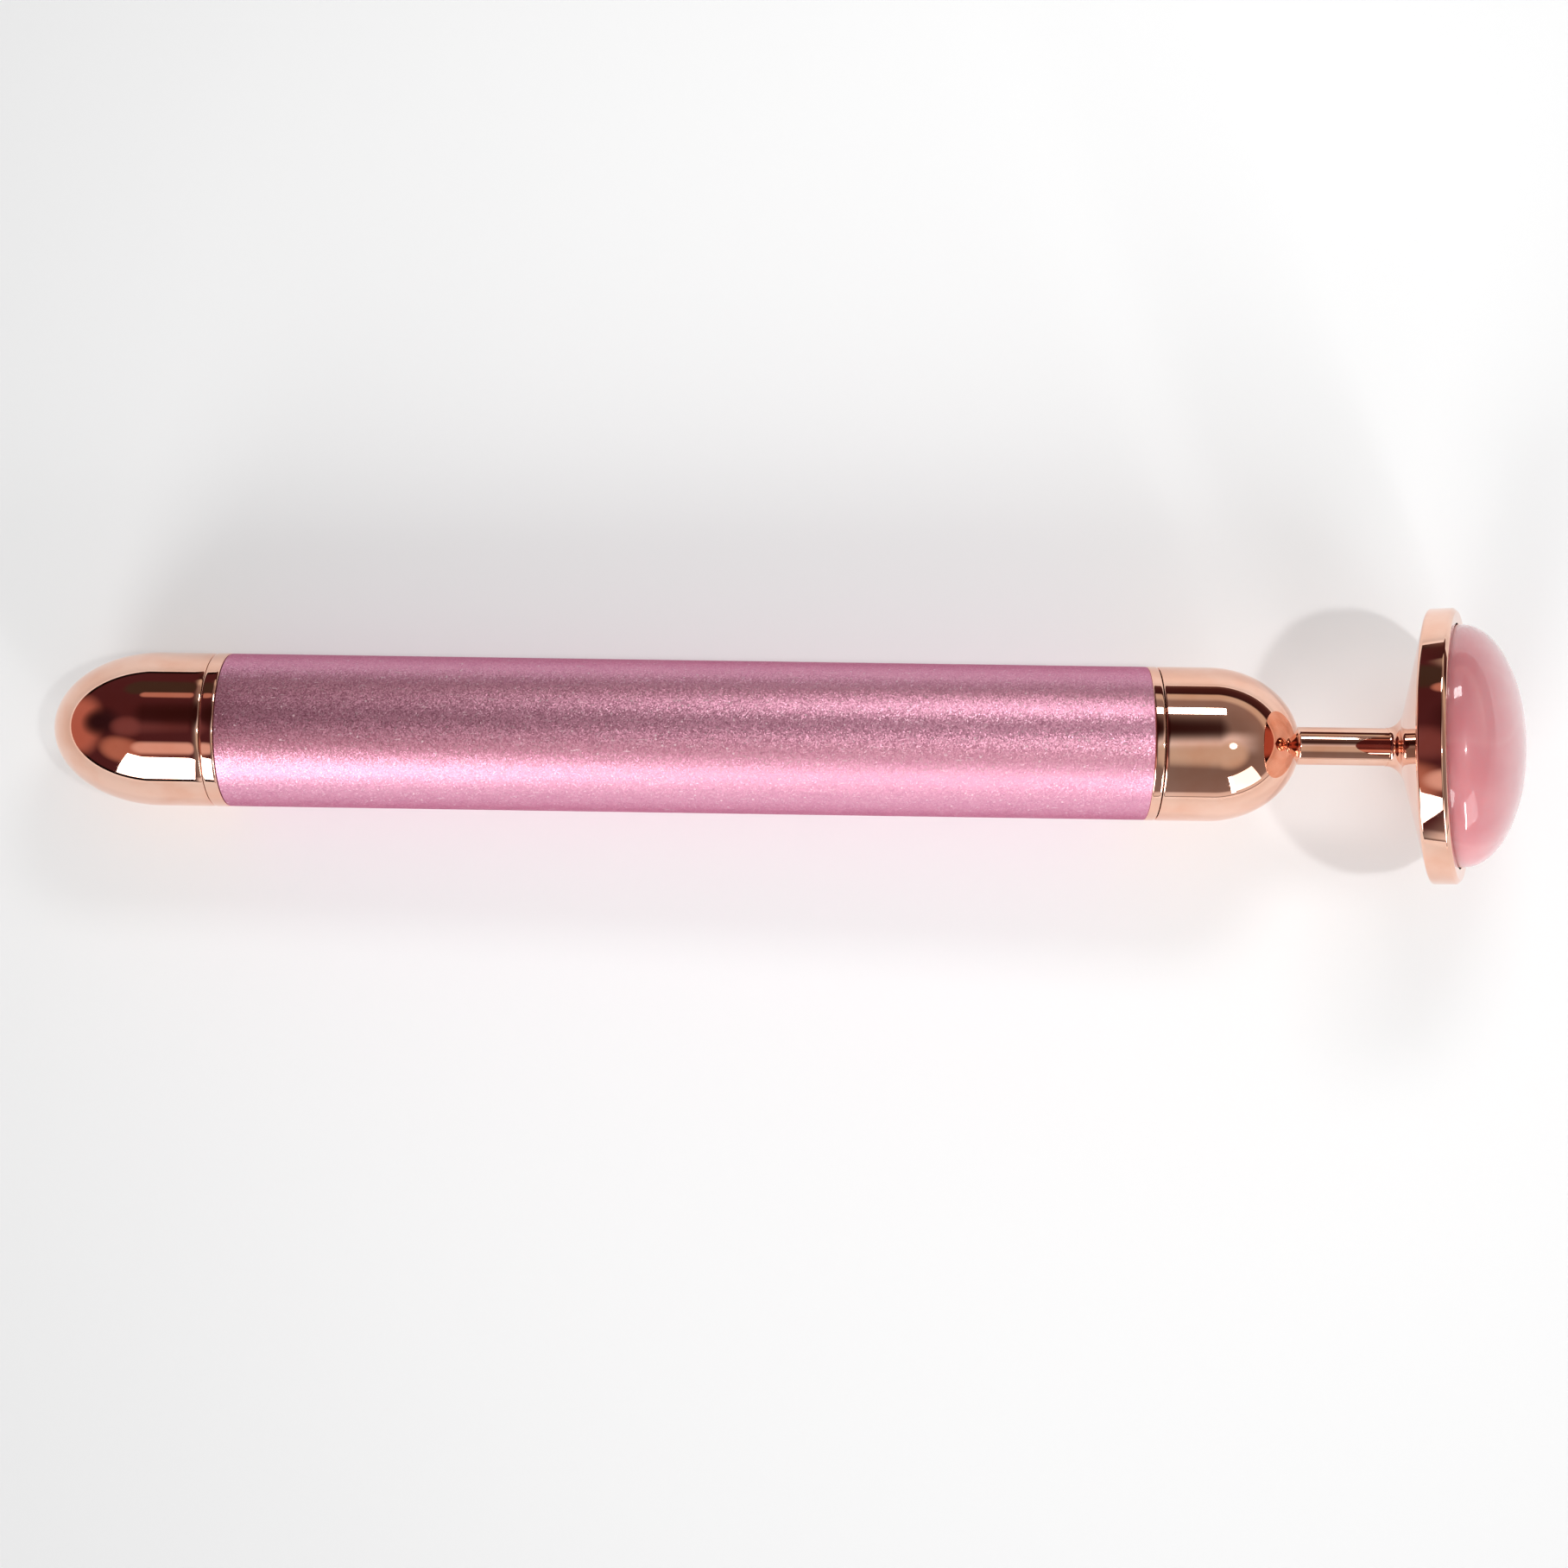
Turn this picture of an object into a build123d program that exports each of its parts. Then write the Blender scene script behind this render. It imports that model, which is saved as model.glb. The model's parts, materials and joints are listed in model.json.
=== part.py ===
from build123d import *
import math
import os

# Sizes in millimetres, angles in degrees.
# A station is a distance along the wand, measured from the tip of its tail.

# Battery: one AA cell, which sets the bore of the wand
battery_diameter = 14.5
battery_length = 50.5
battery_nub_radius = 2.75
battery_nub_height = 1.0
battery_wrap = 0.15
battery_plate_thickness = 0.5
battery_plate_radius = 5.6
battery_edge_round = 0.5
battery_can_wall = 0.25
battery_crimp = 0.5
battery_mouth_radius = 5.0
battery_clearance = 0.35

# Tube
tube_wall = 0.9
tube_edge = 0.12
mouth_depth = 0.8

# Clearances
touch_gap = 0.05
seat_clearance = 0.02
thread_clearance = 0.08
holder_clearance = 0.2
pocket_clearance = 0.15

# Rings and domes stand a little proud of the tube
ring_proud = 0.05
seam_edge = 0.12

# Tail: a hollow dome pressed on a threaded plug
tail_dome_length = 12.0
tail_skirt_length = 6.1
tail_ring_width = 1.5
tail_seam_gap = 0.15
tail_hollow = 4.0
plug_boss_radius = 6.6
plug_boss_length = 5.0
plug_bore_radius = 6.0
plug_floor_depth = 1.1
spigot_length = 7.4

# Rubber rings at both threads
seal_section = 0.4
seal_groove_depth = 0.42
seal_groove_width = 0.9

# Battery spring and its plate
spring_length = 12.35
spring_radius = 4.6
spring_wire_radius = 0.4
spring_turns = 5.5
spring_plate_radius = 5.5
spring_plate_thickness = 0.5

# Contact that the battery's nub touches
positive_radius = 4.0
positive_thickness = 0.6
positive_pin_radius = 0.9
positive_pin_reach = 1.5

# Moulded holder for the motor
holder_floor = 2.0
wiring_length = 7.75
chamber_radius = 6.15
window_length = 7.0
window_height = 6.0
window_round = 1.5
clip_reach = 0.45
clip_width = 3.0
clip_length = 0.9

# Motor: a small can with two flats
can_radius = 6.0
can_height = 10.0
can_length = 13.0
can_wall = 0.5
can_edge = 0.3
bell_thickness = 1.8
bell_bearing_depth = 1.1
bush_radius = 2.0
bush_proud = 1.0
bush_depth = 2.2
shaft_radius = 0.75
shaft_clearance = 0.04
magnet_thickness = 1.2
magnet_height = 7.0
magnet_margin = 1.5
armature_clearance = 0.35
armature_slots = 3
armature_slot_radius = 1.05
armature_slot_mouth = 0.5
terminal_width = 1.5
terminal_thickness = 0.4
terminal_reach = 2.2
terminal_offset = 3.0

# Weight that makes the wand shake
weight_radius = 5.2
weight_hub_radius = 2.2
weight_length = 5.5
weight_gap = 1.6
shaft_tip = 0.6
weight_room = 1.0

# Spring strip that joins the motor to the tube, and the two leads
strip_thickness = 0.3
strip_width = 3.0
strip_foot = 4.0
strip_setback = 2.0
strip_top = 3.4
strip_window_margin = 0.5
lead_radius = 0.45
lead_straight = 1.4

# Front collar: ring, sleeve in the tube and threaded nose
front_ring_width = 1.1
front_seam_gap = 0.25
sleeve_length = 5.8
nose_step = 0.7
nose_wall = 1.3
nose_length = 5.6
nose_room = 0.4

# Front dome and its neck
head_skirt_length = 5.55
head_dome_length = 9.8
neck_radius = 2.1
neck_length = 11.2
neck_seat = 6.0
neck_bead = 0.45
neck_bead_length = 0.5
neck_fillet = 0.9
stud_radius = 1.2
stud_length = 2.4

# Head: a shallow pan on the end of the neck, tilted up, with a polished stone
head_tilt = 21.0
pan_hub_radius = 2.7
pan_cone_depth = 3.05
rim_radius = 15.2
rim_round = 1.0
rim_height = 3.35
rim_bevel = 0.4
lip_width = 1.7
recess_depth = 2.2
bed_thickness = 0.4
bed_margin = 0.3
stone_clearance = 0.15
stone_side = 2.1
stone_crown = 6.7

# Radii worked out from the battery outwards
battery_radius = battery_diameter / 2
bore_radius = battery_radius + battery_clearance
tube_radius = bore_radius + tube_wall
ring_radius = tube_radius + ring_proud
spigot_radius = bore_radius - thread_clearance
spigot_root = spigot_radius - seal_groove_depth
nose_radius = bore_radius - nose_step
holder_radius = bore_radius - holder_clearance

# Radii of the head
recess_radius = rim_radius - lip_width
stone_radius = recess_radius - stone_clearance
rim_top = pan_cone_depth + rim_height
recess_floor = rim_top + rim_bevel - recess_depth
stone_floor = recess_floor + bed_thickness
crown_start = stone_floor + stone_side

# Stations from the tail to the front of the tube
tail_ring_start = tail_dome_length + tail_skirt_length
tail_ring_end = tail_ring_start + tail_ring_width
tube_start = tail_ring_end + tail_seam_gap
spigot_end = tail_ring_end + spigot_length
plug_floor = tail_ring_start - plug_floor_depth
spring_start = plug_floor + touch_gap
spring_end = spring_start + spring_length
spring_plate_start = spring_end + touch_gap
battery_start = spring_plate_start + spring_plate_thickness + touch_gap
battery_end = battery_start + battery_length
positive_start = battery_end + touch_gap
holder_start = positive_start + positive_thickness
wiring_start = holder_start + holder_floor
bell_start = wiring_start + wiring_length
can_start = bell_start + bell_thickness
can_end = can_start + can_length
bush_end = can_end + bush_proud
weight_start = bush_end + weight_gap
weight_end = weight_start + weight_length
shaft_end = weight_end + shaft_tip
holder_end = shaft_end + weight_room
sleeve_start = holder_end + touch_gap
tube_end = sleeve_start + sleeve_length

# Stations from the front of the tube to the head
front_ring_end = tube_end + front_ring_width
nose_end = front_ring_end + nose_length
head_dome_start = front_ring_end + front_seam_gap
head_skirt_end = head_dome_start + head_skirt_length
head_dome_end = head_skirt_end + head_dome_length
neck_start = head_dome_end - neck_seat
head_station = head_dome_end + neck_length

# The wand lies on its tail dome and on the back corner of the rim, so it pitches up a little.
tilt = math.radians(head_tilt)
cone_angle = math.atan2(pan_cone_depth, rim_radius - pan_hub_radius)
corner_turn = math.pi / 2 - cone_angle
corner_tangent = rim_round * math.tan(corner_turn / 2)
corner_depth = pan_cone_depth + corner_tangent
corner_reach = rim_radius - rim_round
corner_run = head_station + corner_depth * math.cos(tilt) + corner_reach * math.sin(tilt) - tail_dome_length
corner_drop = corner_reach * math.cos(tilt) - corner_depth * math.sin(tilt)
pitch = 0.0
for _ in range(6):
    dome_reach = math.hypot(tail_dome_length * math.sin(pitch), ring_radius * math.cos(pitch))
    pitch = math.asin((rim_round - dome_reach) / math.hypot(corner_run, corner_drop))
    pitch = pitch + math.atan2(corner_drop, corner_run)

# The origin is under the middle of the whole length, on the surface that the wand lies on.
head_pitch = tilt + pitch
crown_run = head_station + crown_start * math.cos(tilt)
crown_rise = crown_start * math.sin(tilt)
crown_reach = math.hypot(stone_crown * math.cos(head_pitch), stone_radius * math.sin(head_pitch))
tail_reach = math.hypot(tail_dome_length * math.cos(pitch), ring_radius * math.sin(pitch))
x_low = tail_dome_length * math.cos(pitch) - tail_reach
x_high = crown_run * math.cos(pitch) - crown_rise * math.sin(pitch) + crown_reach
tail_x = -(x_low + x_high) / 2
tail_z = dome_reach - tail_dome_length * math.sin(pitch)

# Planes: across the wand and along its side, and the same pair for the head
forward = Vector(math.cos(pitch), 0, math.sin(pitch))
upward = Vector(-math.sin(pitch), 0, math.cos(pitch))
head_forward = Vector(math.cos(head_pitch), 0, math.sin(head_pitch))
head_upward = Vector(-math.sin(head_pitch), 0, math.cos(head_pitch))
tail_tip = Vector(tail_x, 0, tail_z)
head_point = tail_tip + forward * head_station
wand = Plane(origin=tail_tip, x_dir=upward, z_dir=forward)
side = Plane(origin=tail_tip, x_dir=forward, z_dir=(0, -1, 0))
head = Plane(origin=head_point, x_dir=head_upward, z_dir=head_forward)
head_side = Plane(origin=head_point, x_dir=head_forward, z_dir=(0, -1, 0))
wand_axis = Axis(tail_tip, forward)
head_axis = Axis(head_point, head_forward)


def at(station, across=0.0, up=0.0):
    """A point given by its station, its place across the wand and its height over the axis."""
    return tail_tip + forward * station + Vector(0, across, 0) + upward * up


def rod(base, radius, start, end, mode=Mode.ADD):
    """A round bar, or a round hole with Mode.SUBTRACT, between two stations of a plane."""
    with BuildSketch(base.offset(start)) as circle:
        Circle(radius)
    extrude(circle.sketch, amount=end - start, mode=mode)


def can_bar(grow, start, end, mode=Mode.ADD):
    """A bar with the outline of the motor can, two flats above and below, grown on all sides."""
    with BuildSketch(wand.offset(start)) as outline:
        Circle(can_radius + grow)
        Rectangle(can_height + 2 * grow, 2 * (can_radius + grow), mode=Mode.INTERSECT)
    extrude(outline.sketch, amount=end - start, mode=mode)


def turn_seal(root_radius, station):
    """A rubber ring that lies round a root, against the shoulder at a station."""
    with BuildSketch(side) as section:
        with Locations((station + seal_section + seat_clearance, root_radius + seal_section + seat_clearance)):
            Circle(seal_section)
    revolve(section.sketch, axis=wand_axis)


def run_lead(start, end):
    """A short insulated lead in an S shape between two points, leaving both along the wand."""
    first_turn = start + forward * lead_straight
    last_turn = end - forward * lead_straight
    turn_angle = math.radians(forward.get_angle(last_turn - first_turn))
    bend_radius = 0.45 * lead_straight / math.tan(turn_angle / 2)
    with BuildLine() as route:
        FilletPolyline(start, first_turn, last_turn, end, radius=bend_radius)
    with BuildSketch(Plane(origin=start, z_dir=forward)) as section:
        Circle(lead_radius)
    sweep(section.sketch, path=route.line)
    print("lead bends at a radius of", round(bend_radius, 2))


# Handle tube: anodised aluminium, open at both ends, with a wider mouth for the tail's rubber ring
with BuildPart() as handle_tube:
    rod(wand, tube_radius, tube_start, tube_end)
    rod(wand, bore_radius, tube_start, tube_end, Mode.SUBTRACT)
    mouth_radius = spigot_root + 2 * (seal_section + seat_clearance) + touch_gap
    rod(wand, mouth_radius, tube_start, tube_start + mouth_depth, Mode.SUBTRACT)
    tube_rims = handle_tube.edges().filter_by(GeomType.CIRCLE).sort_by(SortBy.RADIUS)[-2:]
    chamfer(tube_rims, tube_edge)

# Front collar: a sleeve pressed in the tube, a ring that shows and a hollow threaded nose
with BuildPart() as front_collar:
    rod(wand, bore_radius - seat_clearance, sleeve_start, tube_end)
    rod(wand, ring_radius, tube_end, front_ring_end)
    rod(wand, nose_radius, front_ring_end, nose_end)
    rod(wand, nose_radius - nose_wall, sleeve_start, nose_end, Mode.SUBTRACT)
    ring_rims = front_collar.edges().filter_by(GeomType.CIRCLE).sort_by(SortBy.RADIUS)[-2:]
    chamfer(ring_rims, seam_edge)

# Motor holder: a moulding that carries the battery contact, the motor and the room for its weight
with BuildPart() as motor_holder:
    rod(wand, holder_radius, holder_start, holder_end)
    holder_lip = motor_holder.edges().filter_by(GeomType.CIRCLE).group_by(wand_axis)[-1]
    chamfer(holder_lip, (holder_radius - chamber_radius) / 3)
    rod(wand, positive_pin_radius, holder_start, wiring_start, Mode.SUBTRACT)
    rod(wand, chamber_radius, wiring_start, bell_start, Mode.SUBTRACT)
    can_bar(pocket_clearance, bell_start, can_end, Mode.SUBTRACT)
    rod(wand, chamber_radius, can_end, holder_end, Mode.SUBTRACT)
    # Windows through both sides, at the motor and at its weight
    with BuildSketch(side):
        with Locations(((can_start + can_end) / 2, 0), ((weight_start + weight_end) / 2, 0)):
            RectangleRounded(window_length, window_height, window_round)
    extrude(amount=holder_radius, both=True, mode=Mode.SUBTRACT)
    # Window below, for the foot of the spring strip
    strip_start = bell_start - strip_setback - strip_foot
    foot_middle = at(strip_start + strip_foot / 2)
    with BuildSketch(Plane(origin=foot_middle, x_dir=forward, z_dir=upward * -1)):
        Rectangle(strip_foot + 2 * strip_window_margin, strip_width + 2 * strip_window_margin)
    extrude(amount=holder_radius, mode=Mode.SUBTRACT)
    # Clips above and below that keep the motor from sliding forward
    with BuildSketch(wand.offset(can_end)):
        with GridLocations(2 * chamber_radius - 2 * clip_reach, 0, 2, 1):
            Rectangle(2 * clip_reach, clip_width)
        Circle(chamber_radius + touch_gap, mode=Mode.INTERSECT)
    extrude(amount=clip_length)

# Motor can, open at its rear, with a hole for the bush
with BuildPart() as motor_can:
    can_bar(0, can_start, can_end)
    chamfer(motor_can.faces().sort_by(wand_axis)[-1].edges(), can_edge)
    can_bar(-can_wall, can_start, can_end - can_wall, Mode.SUBTRACT)
    rod(wand, bush_radius, can_end - can_wall, can_end, Mode.SUBTRACT)

# Two curved magnets inside the round sides of the can
with BuildPart() as motor_magnets:
    magnet_outside = can_radius - can_wall - seat_clearance
    with BuildSketch(wand.offset(can_start + magnet_margin)):
        Circle(magnet_outside)
        Circle(magnet_outside - magnet_thickness, mode=Mode.SUBTRACT)
        Rectangle(magnet_height, 2 * can_radius, mode=Mode.INTERSECT)
    extrude(amount=can_length - 2 * magnet_margin)

# End bell that closes the can, with slots for the terminals and the rear bearing
with BuildPart() as motor_end_bell:
    can_bar(0, bell_start, can_start)
    rod(wand, shaft_radius + shaft_clearance, can_start - bell_bearing_depth, can_start, Mode.SUBTRACT)
    with BuildSketch(wand.offset(bell_start)):
        with GridLocations(0, 2 * terminal_offset, 1, 2):
            Rectangle(terminal_thickness, terminal_width)
    extrude(amount=bell_thickness, mode=Mode.SUBTRACT)

# Two flat terminals that stand out of the end bell
with BuildPart() as motor_terminals:
    with BuildSketch(wand.offset(bell_start - terminal_reach)):
        with GridLocations(0, 2 * terminal_offset, 1, 2):
            Rectangle(terminal_thickness, terminal_width)
    extrude(amount=terminal_reach + bell_thickness)

# Bush in the front of the can
with BuildPart() as motor_bush:
    rod(wand, bush_radius, bush_end - bush_depth, bush_end)
    rod(wand, shaft_radius + shaft_clearance, bush_end - bush_depth, bush_end, Mode.SUBTRACT)

# Shaft from the rear bearing to the weight
with BuildPart() as motor_shaft:
    rod(wand, shaft_radius, can_start - bell_bearing_depth + touch_gap, shaft_end)
    chamfer(motor_shaft.edges().group_by(wand_axis)[-1], shaft_radius / 4)

# Three-pole armature on the shaft
with BuildPart() as motor_armature:
    armature_radius = magnet_outside - magnet_thickness - armature_clearance
    armature_radius = min(armature_radius, can_height / 2 - can_wall - armature_clearance)
    slot_centre = armature_radius - armature_slot_radius - armature_slot_mouth
    armature_end = bush_end - bush_depth - magnet_margin
    with BuildSketch(wand.offset(can_start + magnet_margin)):
        Circle(armature_radius)
        Circle(shaft_radius, mode=Mode.SUBTRACT)
        with PolarLocations(slot_centre, armature_slots):
            Circle(armature_slot_radius, mode=Mode.SUBTRACT)
        with PolarLocations(slot_centre + armature_slot_radius, armature_slots):
            Rectangle(2 * armature_slot_radius, armature_slot_mouth, mode=Mode.SUBTRACT)
    extrude(amount=armature_end - can_start - magnet_margin)

# Half-round weight on the shaft, hanging below it
with BuildPart() as eccentric_weight:
    with BuildSketch(wand.offset(weight_start)):
        Circle(weight_radius)
        with Locations((weight_radius / 2, 0)):
            Rectangle(weight_radius, 2 * weight_radius, mode=Mode.SUBTRACT)
        Circle(weight_hub_radius)
        Circle(shaft_radius, mode=Mode.SUBTRACT)
    extrude(amount=weight_length)

# Contact with a round head at the battery and a pin through the holder's floor
with BuildPart() as positive_contact:
    rod(wand, positive_radius, positive_start, holder_start)
    rod(wand, positive_pin_radius, holder_start, wiring_start + positive_pin_reach)

# Spring strip: a leg in the wiring room and a foot that bears on the tube
strip_bottom = math.sqrt(bore_radius ** 2 - (strip_width / 2) ** 2) - touch_gap
with BuildPart() as ground_strip:
    with BuildSketch(side):
        with BuildLine():
            Polyline(
                (strip_start, -strip_top),
                (strip_start, -strip_bottom),
                (strip_start + strip_foot, -strip_bottom),
                (strip_start + strip_foot, strip_thickness - strip_bottom),
                (strip_start + strip_thickness, strip_thickness - strip_bottom),
                (strip_start + strip_thickness, -strip_top),
                close=True,
            )
        make_face()
    extrude(amount=strip_width / 2, both=True)

# Lead from the battery contact to one terminal
with BuildPart() as red_lead:
    red_start = at(wiring_start + positive_pin_reach)
    red_end = at(bell_start - terminal_reach, across=terminal_offset)
    run_lead(red_start, red_end)

# Lead from the spring strip to the other terminal
with BuildPart() as black_lead:
    black_start = at(strip_start + strip_thickness, up=-strip_top - 2 * lead_radius)
    black_end = at(bell_start - terminal_reach, across=-terminal_offset)
    run_lead(black_start, black_end)

# Battery can with its raised nub, crimped in at the other end
with BuildPart() as battery_can:
    can_rear = battery_start + battery_plate_thickness
    can_shoulder = battery_end - battery_nub_height
    core_room_radius = battery_radius - battery_wrap - battery_can_wall
    rod(wand, battery_radius - battery_wrap, can_rear, can_shoulder)
    can_rims = battery_can.edges().filter_by(GeomType.CIRCLE)
    fillet(can_rims, battery_edge_round)
    rod(wand, battery_nub_radius, can_shoulder, battery_end)
    fillet(battery_can.edges().group_by(wand_axis)[-1], battery_nub_height / 3)
    rod(wand, core_room_radius, can_rear + battery_crimp, can_shoulder - battery_crimp, Mode.SUBTRACT)
    rod(wand, battery_mouth_radius, can_rear, can_rear + battery_crimp, Mode.SUBTRACT)

# Pressed filling of the battery
with BuildPart() as battery_core:
    core_start = can_rear + battery_crimp + seat_clearance
    core_end = can_shoulder - battery_crimp - seat_clearance
    rod(wand, core_room_radius - seat_clearance, core_start, core_end)

# Plain jacket round the battery can
with BuildPart() as battery_jacket:
    jacket_start = battery_start + battery_plate_thickness + battery_edge_round
    jacket_end = can_shoulder - battery_edge_round
    rod(wand, battery_radius, jacket_start, jacket_end)
    rod(wand, battery_radius - battery_wrap, jacket_start, jacket_end, Mode.SUBTRACT)

# Flat plate at the battery's other end
with BuildPart() as battery_end_plate:
    rod(wand, battery_plate_radius, battery_start, battery_start + battery_plate_thickness)

# Plate that the spring presses on the battery
with BuildPart() as spring_plate:
    rod(wand, spring_plate_radius, spring_plate_start, spring_plate_start + spring_plate_thickness)

# Battery spring, an open coil between the plug's floor and the plate
with BuildPart() as battery_spring:
    coil_height = spring_length - 2 * spring_wire_radius
    with BuildLine() as coil:
        Helix(
            coil_height / spring_turns,
            coil_height,
            spring_radius,
            center=at(spring_start + spring_wire_radius),
            direction=forward,
        )
    coil_start = coil.line @ 0
    with BuildSketch(Plane(origin=coil_start, z_dir=coil.line % 0)):
        Circle(spring_wire_radius)
    sweep(path=coil.line, is_frenet=True)

# Tail plug: a boss in the dome, a ring that shows and a hollow threaded spigot
with BuildPart() as tail_plug:
    rod(wand, plug_boss_radius, tail_ring_start - plug_boss_length, tail_ring_start)
    rod(wand, ring_radius, tail_ring_start, tail_ring_end)
    rod(wand, spigot_root, tail_ring_end, tail_ring_end + seal_groove_width)
    rod(wand, spigot_radius, tail_ring_end + seal_groove_width, spigot_end)
    rod(wand, plug_bore_radius, plug_floor, spigot_end, Mode.SUBTRACT)
    plug_rims = tail_plug.edges().filter_by(GeomType.CIRCLE).sort_by(SortBy.RADIUS)[-2:]
    chamfer(plug_rims, seam_edge)

# Rubber ring round the root of the tail's thread
with BuildPart() as tail_seal:
    turn_seal(spigot_root, tail_ring_end)

# Tail dome: half an ellipsoid on a short skirt, hollow behind the plug
with BuildPart() as tail_dome:
    with BuildSketch(side):
        with BuildLine():
            EllipticalCenterArc((tail_dome_length, 0), tail_dome_length, ring_radius, 90, arc_size=90)
            Polyline(
                (0, 0),
                (tail_ring_start, 0),
                (tail_ring_start, ring_radius - seam_edge),
                (tail_ring_start - seam_edge, ring_radius),
                (tail_dome_length, ring_radius),
            )
        make_face()
    revolve(axis=wand_axis)
    hollow_start = tail_ring_start - plug_boss_length - tail_hollow
    rod(wand, plug_boss_radius, hollow_start, tail_ring_start, Mode.SUBTRACT)

# Rubber ring held in the mouth of the front dome
with BuildPart() as head_seal:
    turn_seal(nose_radius, front_ring_end)

# Front dome: a threaded skirt, half an ellipsoid and a filleted bead where the neck leaves it
with BuildPart() as head_dome:
    bead_radius = neck_radius + neck_bead
    bead_corner = head_skirt_end + head_dome_length * math.sqrt(1 - (bead_radius / ring_radius) ** 2)
    with BuildSketch(side) as dome_profile:
        with BuildLine():
            EllipticalCenterArc((head_skirt_end, 0), head_dome_length, ring_radius, 0, arc_size=90)
            Polyline(
                (head_skirt_end, ring_radius),
                (head_dome_start + seam_edge, ring_radius),
                (head_dome_start, ring_radius - seam_edge),
                (head_dome_start, 0),
                (head_dome_end, 0),
            )
        make_face()
        with Locations((head_dome_end, bead_radius / 2)):
            Rectangle(2 * neck_bead_length, bead_radius)
        inner_corner = dome_profile.vertices().sort_by_distance(at(bead_corner, up=bead_radius))[0]
        fillet(inner_corner, neck_fillet)
    revolve(axis=wand_axis)
    head_mouth_radius = nose_radius + 2 * (seal_section + seat_clearance) + touch_gap
    rod(wand, head_mouth_radius, head_dome_start, head_dome_start + mouth_depth, Mode.SUBTRACT)
    rod(wand, nose_radius + thread_clearance, head_dome_start, nose_end + nose_room, Mode.SUBTRACT)
    rod(wand, neck_radius, neck_start, head_dome_end + neck_bead_length, Mode.SUBTRACT)

# Neck: a round rod, cut off square to the head, with a stud that enters the pan
with BuildPart() as neck_rod:
    rod(wand, neck_radius, neck_start, head_station + neck_radius)
    split(bisect_by=head, keep=Keep.BOTTOM)
    rod(head, stud_radius, 0, stud_length)

# Head pan: a shallow cone behind, a rounded corner, a straight rim, a bevelled lip and a recess
with BuildPart() as head_pan:
    cone_end = pan_cone_depth - corner_tangent * math.sin(cone_angle)
    cone_end_radius = rim_radius - corner_tangent * math.cos(cone_angle)
    face_depth = rim_top + rim_bevel
    with BuildSketch(head_side):
        with BuildLine():
            Polyline((0, 0), (0, pan_hub_radius), (cone_end, cone_end_radius))
            CenterArc((corner_depth, corner_reach), rim_round, 90, math.degrees(corner_turn))
            Polyline(
                (corner_depth, rim_radius),
                (rim_top, rim_radius),
                (face_depth, rim_radius - rim_bevel),
                (face_depth, recess_radius),
                (recess_floor, recess_radius),
                (recess_floor, 0),
                (0, 0),
            )
        make_face()
    revolve(axis=head_axis)
    rod(head, stud_radius, 0, stud_length, Mode.SUBTRACT)

# Bed of adhesive under the stone
with BuildPart() as adhesive_bed:
    rod(head, stone_radius - bed_margin, recess_floor, stone_floor)

# Stone: a polished cabochon with a straight side and a domed crown
with BuildPart() as massage_stone:
    with BuildSketch(head_side):
        with BuildLine():
            EllipticalCenterArc((crown_start, 0), stone_crown, stone_radius, 0, arc_size=90)
            Polyline((crown_start, stone_radius), (stone_floor, stone_radius), (stone_floor, 0))
            Line((stone_floor, 0), (crown_start + stone_crown, 0))
        make_face()
    revolve(axis=head_axis)

pieces = {
    "handle_tube": handle_tube,
    "front_collar": front_collar,
    "motor_holder": motor_holder,
    "motor_can": motor_can,
    "motor_magnets": motor_magnets,
    "motor_end_bell": motor_end_bell,
    "motor_terminals": motor_terminals,
    "motor_bush": motor_bush,
    "motor_shaft": motor_shaft,
    "motor_armature": motor_armature,
    "eccentric_weight": eccentric_weight,
    "positive_contact": positive_contact,
    "ground_strip": ground_strip,
    "red_lead": red_lead,
    "black_lead": black_lead,
    "battery_can": battery_can,
    "battery_core": battery_core,
    "battery_jacket": battery_jacket,
    "battery_end_plate": battery_end_plate,
    "spring_plate": spring_plate,
    "battery_spring": battery_spring,
    "tail_plug": tail_plug,
    "tail_seal": tail_seal,
    "tail_dome": tail_dome,
    "head_seal": head_seal,
    "head_dome": head_dome,
    "neck_rod": neck_rod,
    "head_pan": head_pan,
    "adhesive_bed": adhesive_bed,
    "massage_stone": massage_stone,
}

os.makedirs("parts", exist_ok=True)
for name, piece in pieces.items():
    piece.part.label = name
    export_step(piece.part, f"parts/{name}.step")
print("axis direction", forward, "tail tip", tail_tip, "tube from", at(tube_start), "to", at(tube_end))
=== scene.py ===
import json
import math

import bpy
import numpy as np
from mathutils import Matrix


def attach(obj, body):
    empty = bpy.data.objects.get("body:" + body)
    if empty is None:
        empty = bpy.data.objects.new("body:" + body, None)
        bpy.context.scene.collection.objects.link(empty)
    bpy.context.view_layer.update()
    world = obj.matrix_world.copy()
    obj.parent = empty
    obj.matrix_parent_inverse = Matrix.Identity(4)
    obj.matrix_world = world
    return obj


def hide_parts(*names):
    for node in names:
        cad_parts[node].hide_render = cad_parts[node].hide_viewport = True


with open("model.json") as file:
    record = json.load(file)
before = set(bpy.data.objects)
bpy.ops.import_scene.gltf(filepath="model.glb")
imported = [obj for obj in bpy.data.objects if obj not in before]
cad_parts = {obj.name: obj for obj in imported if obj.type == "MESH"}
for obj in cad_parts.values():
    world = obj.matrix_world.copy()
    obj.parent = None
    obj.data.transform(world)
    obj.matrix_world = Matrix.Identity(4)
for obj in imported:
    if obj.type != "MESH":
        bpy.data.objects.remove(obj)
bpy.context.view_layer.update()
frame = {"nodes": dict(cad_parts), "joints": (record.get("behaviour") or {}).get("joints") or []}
nodes = frame["nodes"]
print("frame loaded:", len(nodes), "nodes")

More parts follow.
